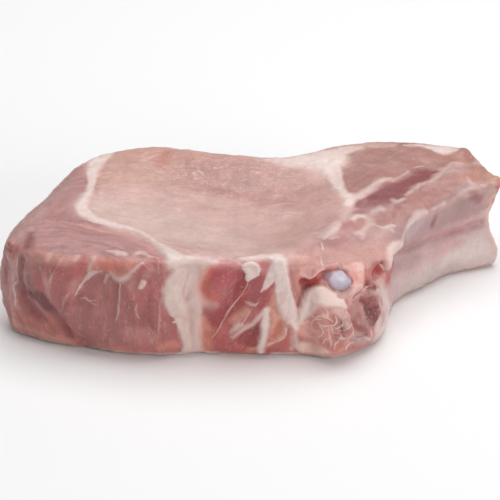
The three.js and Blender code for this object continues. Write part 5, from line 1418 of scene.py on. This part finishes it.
@dataclass(frozen=True)
class MeatFinish:
    """Moist raw meat: lean with fibres and flecks, fat over it with an uneven edge, fine threads.

    The patterns that read the place on the piece are scaled for metres, and those that read the
    place among the fibres for millimetres.
    """

    THREAD_LAYERS = 3
    ALONG = 0.10
    ALONG_MARBLING = 0.55
    WAVE = 1.6

    gloss: float = 0.35
    fibre_swing: float = 1.19
    blotch_swing: float = 0.5
    speck_swing: float = 0.3
    darkest: float = 0.76
    lining_calm: float = 0.75
    edge_wander: float = 1.3
    fray_wander: float = 0.91
    thread_wobble: float = 0.6
    depth: float = 0.18
    glow: Glow = Glow(0.12, (1.0, 0.45, 0.35), 1.6)
    waves: Pattern = Pattern(180.0)
    coarse_fibres: Pattern = Pattern(0.55, 3.0, 0.55)
    fine_fibres: Pattern = Pattern(2.1, rough=0.6)
    blotches: Pattern = Pattern(120.0, 3.0, 0.6)
    specks: Pattern = Pattern(900.0, 3.0, 0.65)
    marbling: Pattern = Pattern(0.62, 3.0, 0.66, 1.7)
    ragged_edge: Pattern = Pattern(330.0, 3.0, 0.6)
    frayed_edge: Pattern = Pattern(1.4)
    veil: Pattern = Pattern(90.0)
    cells: Pattern = Pattern(420.0)
    gaps: Pattern = Pattern(260.0)
    wetness: Pattern = Pattern(260.0, 3.0, 0.6)

    def material(self) -> bpy.types.Material:
        """Makes the material, which reads the attributes that the meat's strokes leave.

        Returns:
            The material.
        """
        n = Nodes("raw meat")
        place = n.place()
        grain = n.attribute("grain", "Vector")
        sure = n.attribute("sure")
        waves = n.vector("MULTIPLY", n.noise(place, self.waves, "Color"), (0.0, self.WAVE, 0.0))
        wavy = n.vector("ADD", n.vector("MULTIPLY", grain, (self.ALONG, 1.0, 1.0)), waves)
        coarse = n.times(n.noise(wavy, self.coarse_fibres), 0.6)
        fine = n.times(n.noise(wavy, self.fine_fibres), 0.4)
        fibres = n.times(n.less(n.plus(coarse, fine), 0.5), sure)
        speck = n.centred(place, self.specks)
        calm = n.less(1.0, n.times(n.attribute("lining"), self.lining_calm))
        swing = n.times(n.attribute("plain"), calm, self.fibre_swing, fibres)

        skin = self.lean(n, place, grain, sure, swing, speck)
        fat, covered = self.fat(n, place, wavy, sure, speck)
        skin = n.mix(covered, skin, fat)
        threads = self.threads(n, place)
        skin = n.mix(threads, skin, rgba(FatTone.WHITE))
        n.link(skin, n.shader.inputs["Base Color"])

        rough = n.step(n.noise(place, self.wetness), 0.3, 0.7, self.gloss - 0.08, self.gloss + 0.14)
        n.link(rough, n.shader.inputs["Roughness"])
        raised = (n.times(speck, 0.5), n.times(covered, 0.6), n.times(threads, 0.5))
        n.bump(n.plus(n.times(fibres, calm), *raised), self.depth)
        n.shader.inputs["Specular IOR Level"].default_value = 0.45
        n.glow(self.glow)
        return n.material

    def lean(
        self, n: Nodes, place: Socket, grain: Socket, sure: Socket, swing: Socket, speck: Socket
    ) -> Socket:
        """Colours the lean: fibres along the grain, blotches, and white flecks among them.

        Args:
            n: The material's nodes.
            place: The place on the piece.
            grain: The place among the fibres.
            sure: 0 where two runs of fibres meet, 1 away from there.
            swing: How far the fibres lighten it.
            speck: The specks, from -0.5 to 0.5.

        Returns:
            The colour.
        """
        blotch = n.times(n.centred(place, self.blotches), self.blotch_swing)
        shade = n.plus(1.0, swing, blotch, n.times(speck, self.speck_swing))
        shade = n.math("MAXIMUM", shade, self.darkest)
        lean = n.mix(1.0, n.attribute("tone", "Color"), n.grey(shade), "MULTIPLY")
        marbling = n.noise(n.vector("MULTIPLY", grain, (self.ALONG_MARBLING, 1.0, 1.0)), self.marbling)
        flecks = n.times(n.step(marbling, 0.5, 0.72), n.times(n.attribute("fleck"), sure))
        return n.mix(flecks, lean, rgba(FatTone.PINK))

    def fat(
        self, n: Nodes, place: Socket, wavy: Socket, sure: Socket, speck: Socket
    ) -> tuple[Socket, Socket]:
        """Colours the fat, with an edge that wanders and small tongues into the lean.

        Args:
            n: The material's nodes.
            place: The place on the piece.
            wavy: The place among the fibres, with waves in it.
            sure: 0 where two runs of fibres meet, 1 away from there.
            speck: The specks, from -0.5 to 0.5.

        Returns:
            The colour, and how well the fat covers the lean.
        """
        inside, soft, cover = n.split("SeparateXYZ", n.attribute("fat", "Vector"))
        ragged = n.times(n.centred(place, self.ragged_edge), self.edge_wander)
        frayed = n.times(n.centred(wavy, self.frayed_edge), sure, self.fray_wander)
        veil = n.noise(place, self.veil)
        blur = n.times(soft, n.step(veil, 0.35, 0.65, 0.6, 1.7))
        covered = n.step(n.plus(inside, ragged, frayed), n.times(blur, -1.0), blur)
        covered = n.times(covered, n.times(cover, n.step(veil, 0.25, 0.6, 0.82, 1.0)))
        pinker = n.step(n.plus(n.noise(place, self.cells), speck), 0.35, 0.8, 0.0, 0.5)
        return n.mix(pinker, n.attribute("fat_tone", "Color"), rgba(FatTone.PINK)), covered

    def threads(self, n: Nodes, place: Socket) -> Socket:
        """Draws the threads, with wobbles and gaps.

        Args:
            n: The material's nodes.
            place: The place on the piece.

        Returns:
            How strongly a thread shows, from 0 to 1.
        """
        wobble = n.times(n.centred(place, self.cells), self.thread_wobble)
        drawn = 0.0
        for layer in range(self.THREAD_LAYERS):
            side, away, half = n.split("SeparateColor", n.attribute(f"thread_{layer}", "Color"))
            off = n.math("ABSOLUTE", n.plus(side, wobble))
            core = n.less(1.0, n.step(off, n.times(half, 0.3), n.times(half, 1.8)))
            close = n.less(1.0, n.step(away, 0.55, 1.0))
            strength = n.attribute(f"thread_{layer}", "Alpha")
            drawn = n.math("MAXIMUM", drawn, n.times(core, close, strength))
        return n.times(drawn, n.step(n.noise(place, self.gaps), 0.3, 0.55, 0.45, 1.0))


@dataclass(frozen=True)
class BoneFinish:
    """Sawn bone: a pale, dense rim and a dark, spongy core."""

    HOLE = (0.14, 0.035, 0.035, 1.0)

    gloss: float = 0.42
    depth: float = 0.25
    glow: Glow = Glow(0.1, (1.0, 0.5, 0.4), 1.2)
    sponge: Pattern = Pattern(900.0, 3.0, 0.6)
    specks: Pattern = Pattern(1300.0)
    veil: Pattern = Pattern(300.0, 3.0, 0.6)

    def material(self) -> bpy.types.Material:
        """Makes the material, which reads the tone that the bone's strokes leave.

        Returns:
            The material.
        """
        n = Nodes("sawn bone")
        place = n.place()
        core = n.attribute("core")
        sponge = n.noise(place, self.sponge)
        holes = n.times(n.step(sponge, 0.52, 0.62), core)
        flesh = n.mix(holes, n.attribute("tone", "Color"), self.HOLE)
        specks = n.times(n.step(n.noise(place, self.specks), 0.6, 0.68), core, 0.6)
        flesh = n.mix(specks, flesh, rgba(Tone.BONE))
        veil = n.step(n.noise(place, self.veil), 0.4, 0.7, 0.0, 0.6)
        flesh = n.mix(veil, flesh, rgba(Tone.MARROW_SOFT))
        n.link(flesh, n.shader.inputs["Base Color"])
        n.shader.inputs["Roughness"].default_value = self.gloss
        n.bump(n.plus(sponge, n.times(holes, -1.2)), self.depth)
        n.glow(self.glow)
        return n.material


@dataclass(frozen=True)
class CartilageFinish:
    """Wet, blue-white cartilage, clear at its edge."""

    gloss: float = 0.28
    depth: float = 0.08
    glow: Glow = Glow(0.3, (0.8, 0.8, 1.0), 2.0)
    cloud: Pattern = Pattern(160.0)
    grit: Pattern = Pattern(350.0)

    def material(self) -> bpy.types.Material:
        """Makes the material.

        Returns:
            The material.
        """
        n = Nodes("wet cartilage")
        place = n.place()
        cloud = n.step(n.noise(place, self.cloud), 0.3, 0.7)
        color = n.mix(cloud, rgba(Tone.KNOB_GREY), rgba(Tone.KNOB_BLUE))
        color = n.mix(n.attribute("edge"), color, rgba(Tone.KNOB_EDGE))
        n.link(color, n.shader.inputs["Base Color"])
        n.shader.inputs["Roughness"].default_value = self.gloss
        n.bump(n.noise(place, self.grit), self.depth)
        n.glow(self.glow)
        return n.material


@dataclass
class Meat:
    """The meat of the chop, one piece, with everything that is drawn on its skin."""

    FIBRE_RUN = 0.12
    FIBRE_REACH = 60.0
    FIBRE_STEP = 4.0
    FIBRES_MEET = 5.0
    BUNDLE = 7.0
    OVERRUN_CUTS = 30.0
    OVERRUN_SIDES = 12.0
    THREAD_SPREAD = 1.3
    FOLD_SPREAD = 1.6
    MARK_REACH = 4.0

    name: str = "chop_meat"
    voxel: float = 0.68
    rounds: int = 9
    finish: MeatFinish = field(default_factory=MeatFinish)
    fleck_share: tuple[float, float] = (0.14, 0.75)  # in front, and in the back of the eye
    fleck_back: tuple[float, float] = (-14.0, 22.0)  # where the back of the eye begins and is reached
    fleck_slant: float = 0.45
    fleck_end: tuple[float, float] = (24.0, 32.0)  # the x where the eye ends
    fleck_sides: float = 0.25
    lining_end: tuple[float, float] = (40.5, 43.5)  # the x where the lining begins and is whole
    lining_front: tuple[float, float] = (-32.0, -27.0)  # the same along y
    lining_calm: float = 0.8
    low: tuple[float, float] = (0.5, 3.0)  # the height where the foot ends
    settled: float = 2.5  # below this height nothing moves down or up
    close: tuple[float, float] = (0.7, 1.8)  # wholly drawn up from here, not at all from there
    overlap: float = 0.1
    fibres: Bumps = Bumps(1.3, 5.0, 0.14)
    swells: Bumps = Bumps(9.0, 11.0, 0.35)
    dents: Bumps = Bumps(4.5, 17.0, 0.4)
    grit: Bumps = Bumps(2.6, 23.0, 0.12)
    fat_grit: Bumps = Bumps(1.7, 53.0, 0.3)
    torn: Bumps = Bumps(2.2, 31.0, 0.55)
    lining_foot: Bumps = Bumps(2.2, 41.0, 1.7)
    foot: Bumps = Bumps(3.2, 43.0, 0.6)
    holds: tuple[str, ...] = ("rib_bone", "joint_cartilage")
    # Flesh grown round the bone's head and over the knob.
    lumps: tuple[Ball, ...] = (
        (27.2, -39.4, 19.1, 3), (28.1, -40.3, 17.1, 3.2), (28.2, -42.1, 16.2, 3.2), (28.3, -42.8, 15, 3.2),
        (28.8, -43.2, 13.4, 3.2), (29.7, -42.9, 11.6, 3), (31.2, -41.9, 9.6, 2.6), (28.9, -37.7, 19.5, 2.6),
        (30.3, -35.6, 20.3, 2.4), (31.8, -34.4, 20.7, 2.2), (33.2, -33.4, 21.2, 2), (34.2, -32.4, 21.5, 2),
        (35.4, -31.4, 22.3, 1.8), (28.8, -33.2, 28.3, 1.9), (29.8, -33, 26.8, 2), (30.8, -33, 25.4, 1.9),
    )
    # The tones of flesh that is torn.
    lumpy: tuple[Tone, ...] = (
        Tone.FLESH_PINK, Tone.FLESH_PALE, Tone.FLESH_ORANGE, Tone.NOTCH_RED, Tone.BLOOD,
    )

    def build(self) -> bpy.types.Object:
        """Makes the piece, draws on it and puts it in the frame.

        Returns:
            The piece.
        """
        piece = reworked("meat", self.name, self.voxel, self.rounds, self.holds, lumps=self.lumps)
        canvas = Canvas(piece.data)
        lean = self.lean(canvas)
        fat, fat_tone = self.fat(canvas)
        threads = self.threads(canvas)
        grain, plain, sure = self.grain(canvas)
        drawn = {"tone": with_alpha(lean), "fat": fat, "fat_tone": with_alpha(fat_tone)}
        drawn |= {f"thread_{layer}": rows for layer, rows in enumerate(threads)}
        drawn |= {"grain": grain, "plain": plain, "sure": sure}
        drawn |= {"fleck": self.flecks(canvas), "lining": self.lining(canvas)}
        for name, values in drawn.items():
            canvas.store(name, values)
        places = self.relief(canvas, fat, grain, plain)
        for node in self.holds:
            self.close_round(canvas, places, tree_of(node_mesh(node)))
        canvas.move(places)
        piece.data.materials.append(self.finish.material())
        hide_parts("meat")
        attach(piece, "root")
        return piece

    def lean(self, canvas: Canvas) -> Array:
        """Colours the lean with the washes in turn.

        Args:
            canvas: The skin.

        Returns:
            The lean's colour at every vertex.
        """
        colors = np.tile(linear(Tone.EYE.value), (len(canvas.places), 1))
        sides = linear(Tone.LOBE_END.value)
        colors += canvas.front[:, None] * (sides - colors)
        canvas.paint(WASHES, colors)
        return colors

    def fat(self, canvas: Canvas) -> tuple[Array, Array]:
        """Finds the fat at every vertex.

        Args:
            canvas: The skin.

        Returns:
            How deep each vertex lies inside the fat in mm, the width of the fat's edge there and
            how well it covers, and then its colour.
        """
        rows = np.tile([-Canvas.REACH, 0.5, 1.0], (len(canvas.places), 1))
        colors = np.tile(linear(FatTone.WHITE.value), (len(canvas.places), 1))
        best = np.full(len(canvas.places), -Canvas.FAR)
        for streak in FATS:
            near = canvas.near(streak, Canvas.REACH)
            inside = near.half - near.away
            allowed = canvas.allowed(streak, near.which)
            inside = np.minimum(inside, (allowed - 0.5) * 6)
            fade = min(1.2, 1.6 * streak.soft)
            share = (smoothstep(-fade, 0.5 * fade, inside) * streak.cover)[:, None]
            colors[near.which] += share * (linear(streak.tone.value) - colors[near.which])
            covers = streak.cover * smoothstep(-streak.soft, streak.soft, inside) + 0.02 * inside
            better = covers > best[near.which]
            which = near.which[better]
            best[which] = covers[better]
            rows[which, 0] = np.minimum(inside[better], Canvas.REACH)
            rows[which, 1:] = streak.soft, streak.cover
        return rows, colors

    def threads(self, canvas: Canvas) -> list[Array]:
        """Measures every vertex against the nearest thread of each layer.

        Args:
            canvas: The skin.

        Returns:
            For each layer, the distance with and without a sign, the half width and the strength.
        """
        layers = []
        for layer in range(MeatFinish.THREAD_LAYERS):
            nearest = np.tile([Canvas.REACH, Canvas.REACH, 0.2, 0.0], (len(canvas.places), 1))
            for thread in THREADS[layer :: MeatFinish.THREAD_LAYERS]:
                near = canvas.near(thread, Canvas.REACH)
                allowed = canvas.allowed(thread, near.which)
                closer = near.away < nearest[near.which, 1]
                rows = np.stack([near.side, near.away, near.half, thread.strength * allowed], axis=1)
                nearest[near.which[closer]] = rows[closer]
            layers.append(nearest)
        return layers

    def grain(self, canvas: Canvas) -> tuple[Array, Array, Array]:
        """Finds every vertex's place among the fibres.

        Args:
            canvas: The skin.

        Returns:
            The place in mm, along the fibres, across them and which bundle, then how plainly the
            fibres show, and last 0 where two runs of fibres meet, and 1 away from there.
        """
        count = len(canvas.places)
        rows = np.zeros((count, 3))
        plain = np.zeros(count)
        best = np.full(count, Canvas.FAR)
        second = np.full(count, Canvas.FAR)
        for number, line in enumerate(GRAINS):
            cuts = line.skin is Skin.CUTS
            overrun = self.OVERRUN_CUTS if cuts else self.OVERRUN_SIDES
            near = canvas.near(line, self.FIBRE_REACH, step=self.FIBRE_STEP, overrun=overrun)
            wanted = (canvas.front[near.which] < 0.5) == cuts
            closer = wanted & (near.away < best[near.which])
            which = near.which[closer]
            others = near.which[wanted & ~closer]
            second[others] = np.minimum(second[others], near.away[wanted & ~closer])
            second[which] = best[which]
            best[which] = near.away[closer]
            rows[which, 0] = near.along[closer]
            rows[which, 1] = near.side[closer]
            rows[which, 2] = number * self.BUNDLE
            plain[which] = line.strength
        apart = second - best
        return rows, plain * smoothstep(0.0, self.FIBRES_MEET, apart), smoothstep(0.8, 3.0, apart)

    def flecks(self, canvas: Canvas) -> Array:
        """Finds how thickly white flecks lie in the lean: most in the back of the eye.

        Args:
            canvas: The skin.

        Returns:
            A share from 0 to 1 for each vertex.
        """
        x, y = canvas.places[:, 0], canvas.places[:, 1]
        back = smoothstep(*self.fleck_back, y + self.fleck_slant * x)
        back *= 1 - 0.95 * smoothstep(*self.fleck_end, x)
        low, high = self.fleck_share
        side = self.fleck_sides * canvas.front * (1 - 0.9 * self.lining(canvas))
        return (low + (high - low) * back) * (1 - canvas.front) + side

    def lining(self, canvas: Canvas) -> Array:
        """Finds the smooth lining of the rib side.

        Args:
            canvas: The skin.

        Returns:
            1 on the lining, falling to 0 elsewhere, for each vertex.
        """
        x, y = canvas.places[:, 0], canvas.places[:, 1]
        beside = smoothstep(*self.lining_end, x) * smoothstep(*self.lining_front, y)
        return canvas.front * beside * smoothstep(0.05, 0.5, -canvas.normals[:, 1] + 0.3)

    def close_round(self, canvas: Canvas, places: Array, tree: BVHTree) -> None:
        """Draws the skin up to a bone or cartilage that it holds, but not where a lump lies over it.

        Args:
            canvas: The skin as it was.
            places: The skin's vertices in mm, which are changed.
            tree: The surface of the bone or cartilage.
        """
        whole, reach = self.close
        lump = in_balls(canvas.places, self.lumps)
        for index, place in enumerate(places):
            spot, normal, _, away = tree.find_nearest(Vector(place * MM), reach * MM)
            if spot is None:
                continue
            wanted = np.array(spot - normal * self.overlap * MM) / MM
            pull = 1 - float(smoothstep(whole, reach, np.array(away / MM)))
            same = float(np.dot(canvas.normals[index], np.array(normal)))
            pull *= 1 - lump[index] * float(smoothstep(0.0, 0.5, np.array(same)))
            places[index] += pull * (wanted - place)

    def marks(self, canvas: Canvas) -> Array:
        """Finds how far fat, threads and folds stand out.

        Args:
            canvas: The skin.

        Returns:
            Their height in mm at every vertex.
        """
        raised = np.zeros(len(canvas.places))
        for streak in FATS:
            near = canvas.near(streak, 1.0)
            lift = streak.rise * smoothstep(-0.7, 0.7, near.half - near.away)
            lift *= canvas.allowed(streak, near.which)
            raised[near.which] = np.maximum(raised[near.which], lift)
        for mark in THREADS + FOLDS:
            wide = self.FOLD_SPREAD if isinstance(mark, Fold) else self.THREAD_SPREAD
            near = canvas.near(mark, self.MARK_REACH)
            bell = np.exp(-((near.away / np.maximum(near.half * wide, 0.5)) ** 2))
            raised[near.which] += mark.rise * bell * canvas.allowed(mark, near.which)
        return raised

    def relief(self, canvas: Canvas, fat: Array, grain: Array, plain: Array) -> Array:
        """Pushes the skin out and in by its fat, threads, folds, fibres and general unevenness.

        Args:
            canvas: The skin.
            fat: The fat at each vertex.
            grain: Each vertex's place among the fibres.
            plain: How plainly the fibres show at each vertex.

        Returns:
            The vertices' new places in mm.
        """
        height = canvas.places[:, 2]
        side = 1 - canvas.cut
        lean = 1 - smoothstep(-0.3, 0.5, fat[:, 0]) * fat[:, 2]
        lining = self.lining(canvas)
        calm = 1 - self.lining_calm * lining
        low = 1 - smoothstep(*self.low, height)
        push = self.marks(canvas)
        push += canvas.height(self.fibres, grain * [self.FIBRE_RUN, 1.0, 1.0]) * lean * calm * plain
        push += canvas.height(self.swells)
        push += canvas.height(self.dents) * side * calm
        push += canvas.height(self.grit) * (1 + 0.8 * (1 - lean))
        push += canvas.height(self.fat_grit) * (1 - lean) * side * calm
        push += canvas.height(self.torn) * canvas.under([wash for wash in WASHES if wash.tone in self.lumpy])
        push += canvas.height(self.lining_foot) * low * lining + canvas.height(self.foot) * low
        moves = canvas.normals * push[:, None]
        moves[:, 2] *= smoothstep(0.0, self.settled, height)
        places = canvas.places + moves
        places[:, 2] = np.maximum(places[:, 2], 0)
        return places


@dataclass
class RibBone:
    """The rib bone, of which the sawn head and the sawn tip show."""

    name: str = "chop_rib_bone"
    voxel: float = 0.5
    rounds: int = 3
    swell: float = 0.2
    sunk: float = 0.35
    grit: Bumps = Bumps(1.6, 7.0, 0.12)
    tip: tuple[float, float, float, float] = (24.5, 9.0, 2.6, 4.6)  # middle y, z, half y, z
    tip_end: tuple[float, float] = (76.0, 79.0)  # the x where the sawn tip begins and is reached
    tip_rim: tuple[float, float] = (0.55, 0.95)  # the shares of the half width where its core ends
    finish: BoneFinish = field(default_factory=BoneFinish)

    def build(self) -> bpy.types.Object:
        """Makes the piece and puts it in the frame.

        Returns:
            The piece.
        """
        piece = reworked("rib_bone", self.name, self.voxel, self.rounds)
        canvas = Canvas(piece.data)
        core = canvas.under([wash for wash in BONE_WASHES if wash.tone in (Tone.MARROW, Tone.MARROW_SOFT)])
        tip = self.tip_core(canvas)
        colors = np.tile(linear(Tone.BONE.value), (len(core), 1))
        canvas.paint([wash for wash in WASHES if wash.skin is Skin.SIDES], colors)
        canvas.paint(BONE_WASHES, colors)
        colors += tip[:, None] * (linear(Tone.MARROW.value) - colors)
        core = np.maximum(core, tip)
        canvas.store("tone", with_alpha(colors))
        canvas.store("core", core)
        push = self.swell + canvas.height(self.grit) - self.sunk * core
        canvas.move(canvas.places + canvas.normals * push[:, None])
        piece.data.materials.append(self.finish.material())
        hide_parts("rib_bone")
        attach(piece, "root")
        return piece

    def tip_core(self, canvas: Canvas) -> Array:
        """Finds the spongy core of the sawn tip.

        Args:
            canvas: The bone's skin.

        Returns:
            1 in the core, falling to 0 elsewhere, for each vertex.
        """
        x, y, z = canvas.places.T
        middle_y, middle_z, half_y, half_z = self.tip
        sawn = smoothstep(*self.tip_end, x) * smoothstep(0.4, 0.8, canvas.normals[:, 0])
        out = np.hypot((y - middle_y) / half_y, (z - middle_z) / half_z)
        return sawn * (1 - smoothstep(*self.tip_rim, out))


@dataclass
class JointCartilage:
    """The knob of joint cartilage in the hollow above the bone's head."""

    name: str = "chop_joint_cartilage"
    voxel: float = 0.35
    rounds: int = 6
    swell: float = 0.85
    edge: float = 1.1
    wander: Bumps = Bumps(2.0, 9.0, 0.35)
    bulges: Bumps = Bumps(5.0, 3.0, 0.15)
    finish: CartilageFinish = field(default_factory=CartilageFinish)

    def build(self) -> bpy.types.Object:
        """Makes the piece and puts it in the frame.

        Returns:
            The piece.
        """
        piece = reworked("joint_cartilage", self.name, self.voxel, self.rounds)
        canvas = Canvas(piece.data)
        meat = tree_of(node_mesh("meat"))
        away = np.array([meat.find_nearest(Vector(place * MM))[3] / MM for place in canvas.places])
        canvas.store("edge", 1 - smoothstep(0.3, self.edge, away + canvas.height(self.wander)))
        push = self.swell + canvas.height(self.bulges)
        canvas.move(canvas.places + canvas.normals * push[:, None])
        piece.data.materials.append(self.finish.material())
        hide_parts("joint_cartilage")
        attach(piece, "root")
        return piece


@dataclass
class Studio:
    """The pale floor, the soft lights and the camera."""

    aim: tuple[float, float, float] = (-1.8, -6.0, 20.0)
    distance: float = 700.0
    elevation: float = 30.0
    lens: float = 151.2
    sensor: float = 36.0
    floor_half: float = 2.5
    floor_grey: float = 0.93
    sky: float = 0.3128
    lamps: tuple[Lamp, ...] = (
        Lamp("overhead", (0.1, 0.2, 0.9), 0.9, 7.4),
        Lamp("front", (0.75, -0.75, 0.4), 0.5, 4.2),
    )

    def build(self) -> None:
        """Sets the floor, the lights and the camera up."""
        self.floor()
        self.lights()
        self.camera()

    def floor(self) -> None:
        """Lays a plain pale floor."""
        shape = bmesh.new()
        bmesh.ops.create_grid(shape, x_segments=1, y_segments=1, size=self.floor_half)
        mesh = bpy.data.meshes.new("floor")
        shape.to_mesh(mesh)
        shape.free()
        floor = bpy.data.objects.new("floor", mesh)
        bpy.context.scene.collection.objects.link(floor)
        n = Nodes("pale floor")
        n.shader.inputs["Base Color"].default_value = (self.floor_grey, self.floor_grey, self.floor_grey, 1.0)
        n.shader.inputs["Roughness"].default_value = 0.9
        n.shader.inputs["Specular IOR Level"].default_value = 0.1
        mesh.materials.append(n.material)

    def lights(self) -> None:
        """Hangs the lamps under a white sky."""
        world = bpy.data.worlds.new("studio")
        world.use_nodes = True
        background = world.node_tree.nodes["Background"]
        background.inputs["Color"].default_value = (1.0, 1.0, 1.0, 1.0)
        background.inputs["Strength"].default_value = self.sky
        bpy.context.scene.world = world
        for lamp in self.lamps:
            self.hang(lamp)
        bpy.context.scene.view_settings.view_transform = "Standard"

    def hang(self, lamp: Lamp) -> None:
        """Hangs one lamp so that it faces the chop.

        Args:
            lamp: The lamp.
        """
        light = bpy.data.lights.new(lamp.name, "AREA")
        light.size = lamp.size
        light.energy = lamp.power
        holder = bpy.data.objects.new(lamp.name, light)
        holder.location = lamp.place
        ahead = Vector(self.aim) * MM - Vector(lamp.place)
        holder.rotation_euler = ahead.to_track_quat("-Z", "Y").to_euler()
        bpy.context.scene.collection.objects.link(holder)

    def camera(self) -> None:
        """Places the camera in front of the chop, looking down on it."""
        angle = math.radians(self.elevation)
        aim = Vector(self.aim)
        place = aim + self.distance * Vector((0, -math.cos(angle), math.sin(angle)))
        lens = bpy.data.cameras.new("camera")
        lens.lens = self.lens
        lens.sensor_width = self.sensor
        lens.clip_end = 20.0
        camera = bpy.data.objects.new("camera", lens)
        camera.location = place * MM
        camera.rotation_euler = (aim - place).to_track_quat("-Z", "Y").to_euler()
        bpy.context.scene.collection.objects.link(camera)
        bpy.context.scene.camera = camera


def main() -> None:
    """Builds the chop and its studio."""
    logging.basicConfig(level=logging.INFO, format="%(name)s: %(message)s")
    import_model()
    Studio().build()
    for maker in (Meat(), RibBone(), JointCartilage()):
        piece = maker.build()
        LOG.info("%s: %d faces", piece.name, len(piece.data.polygons))


if __name__ == "__main__":
    main()
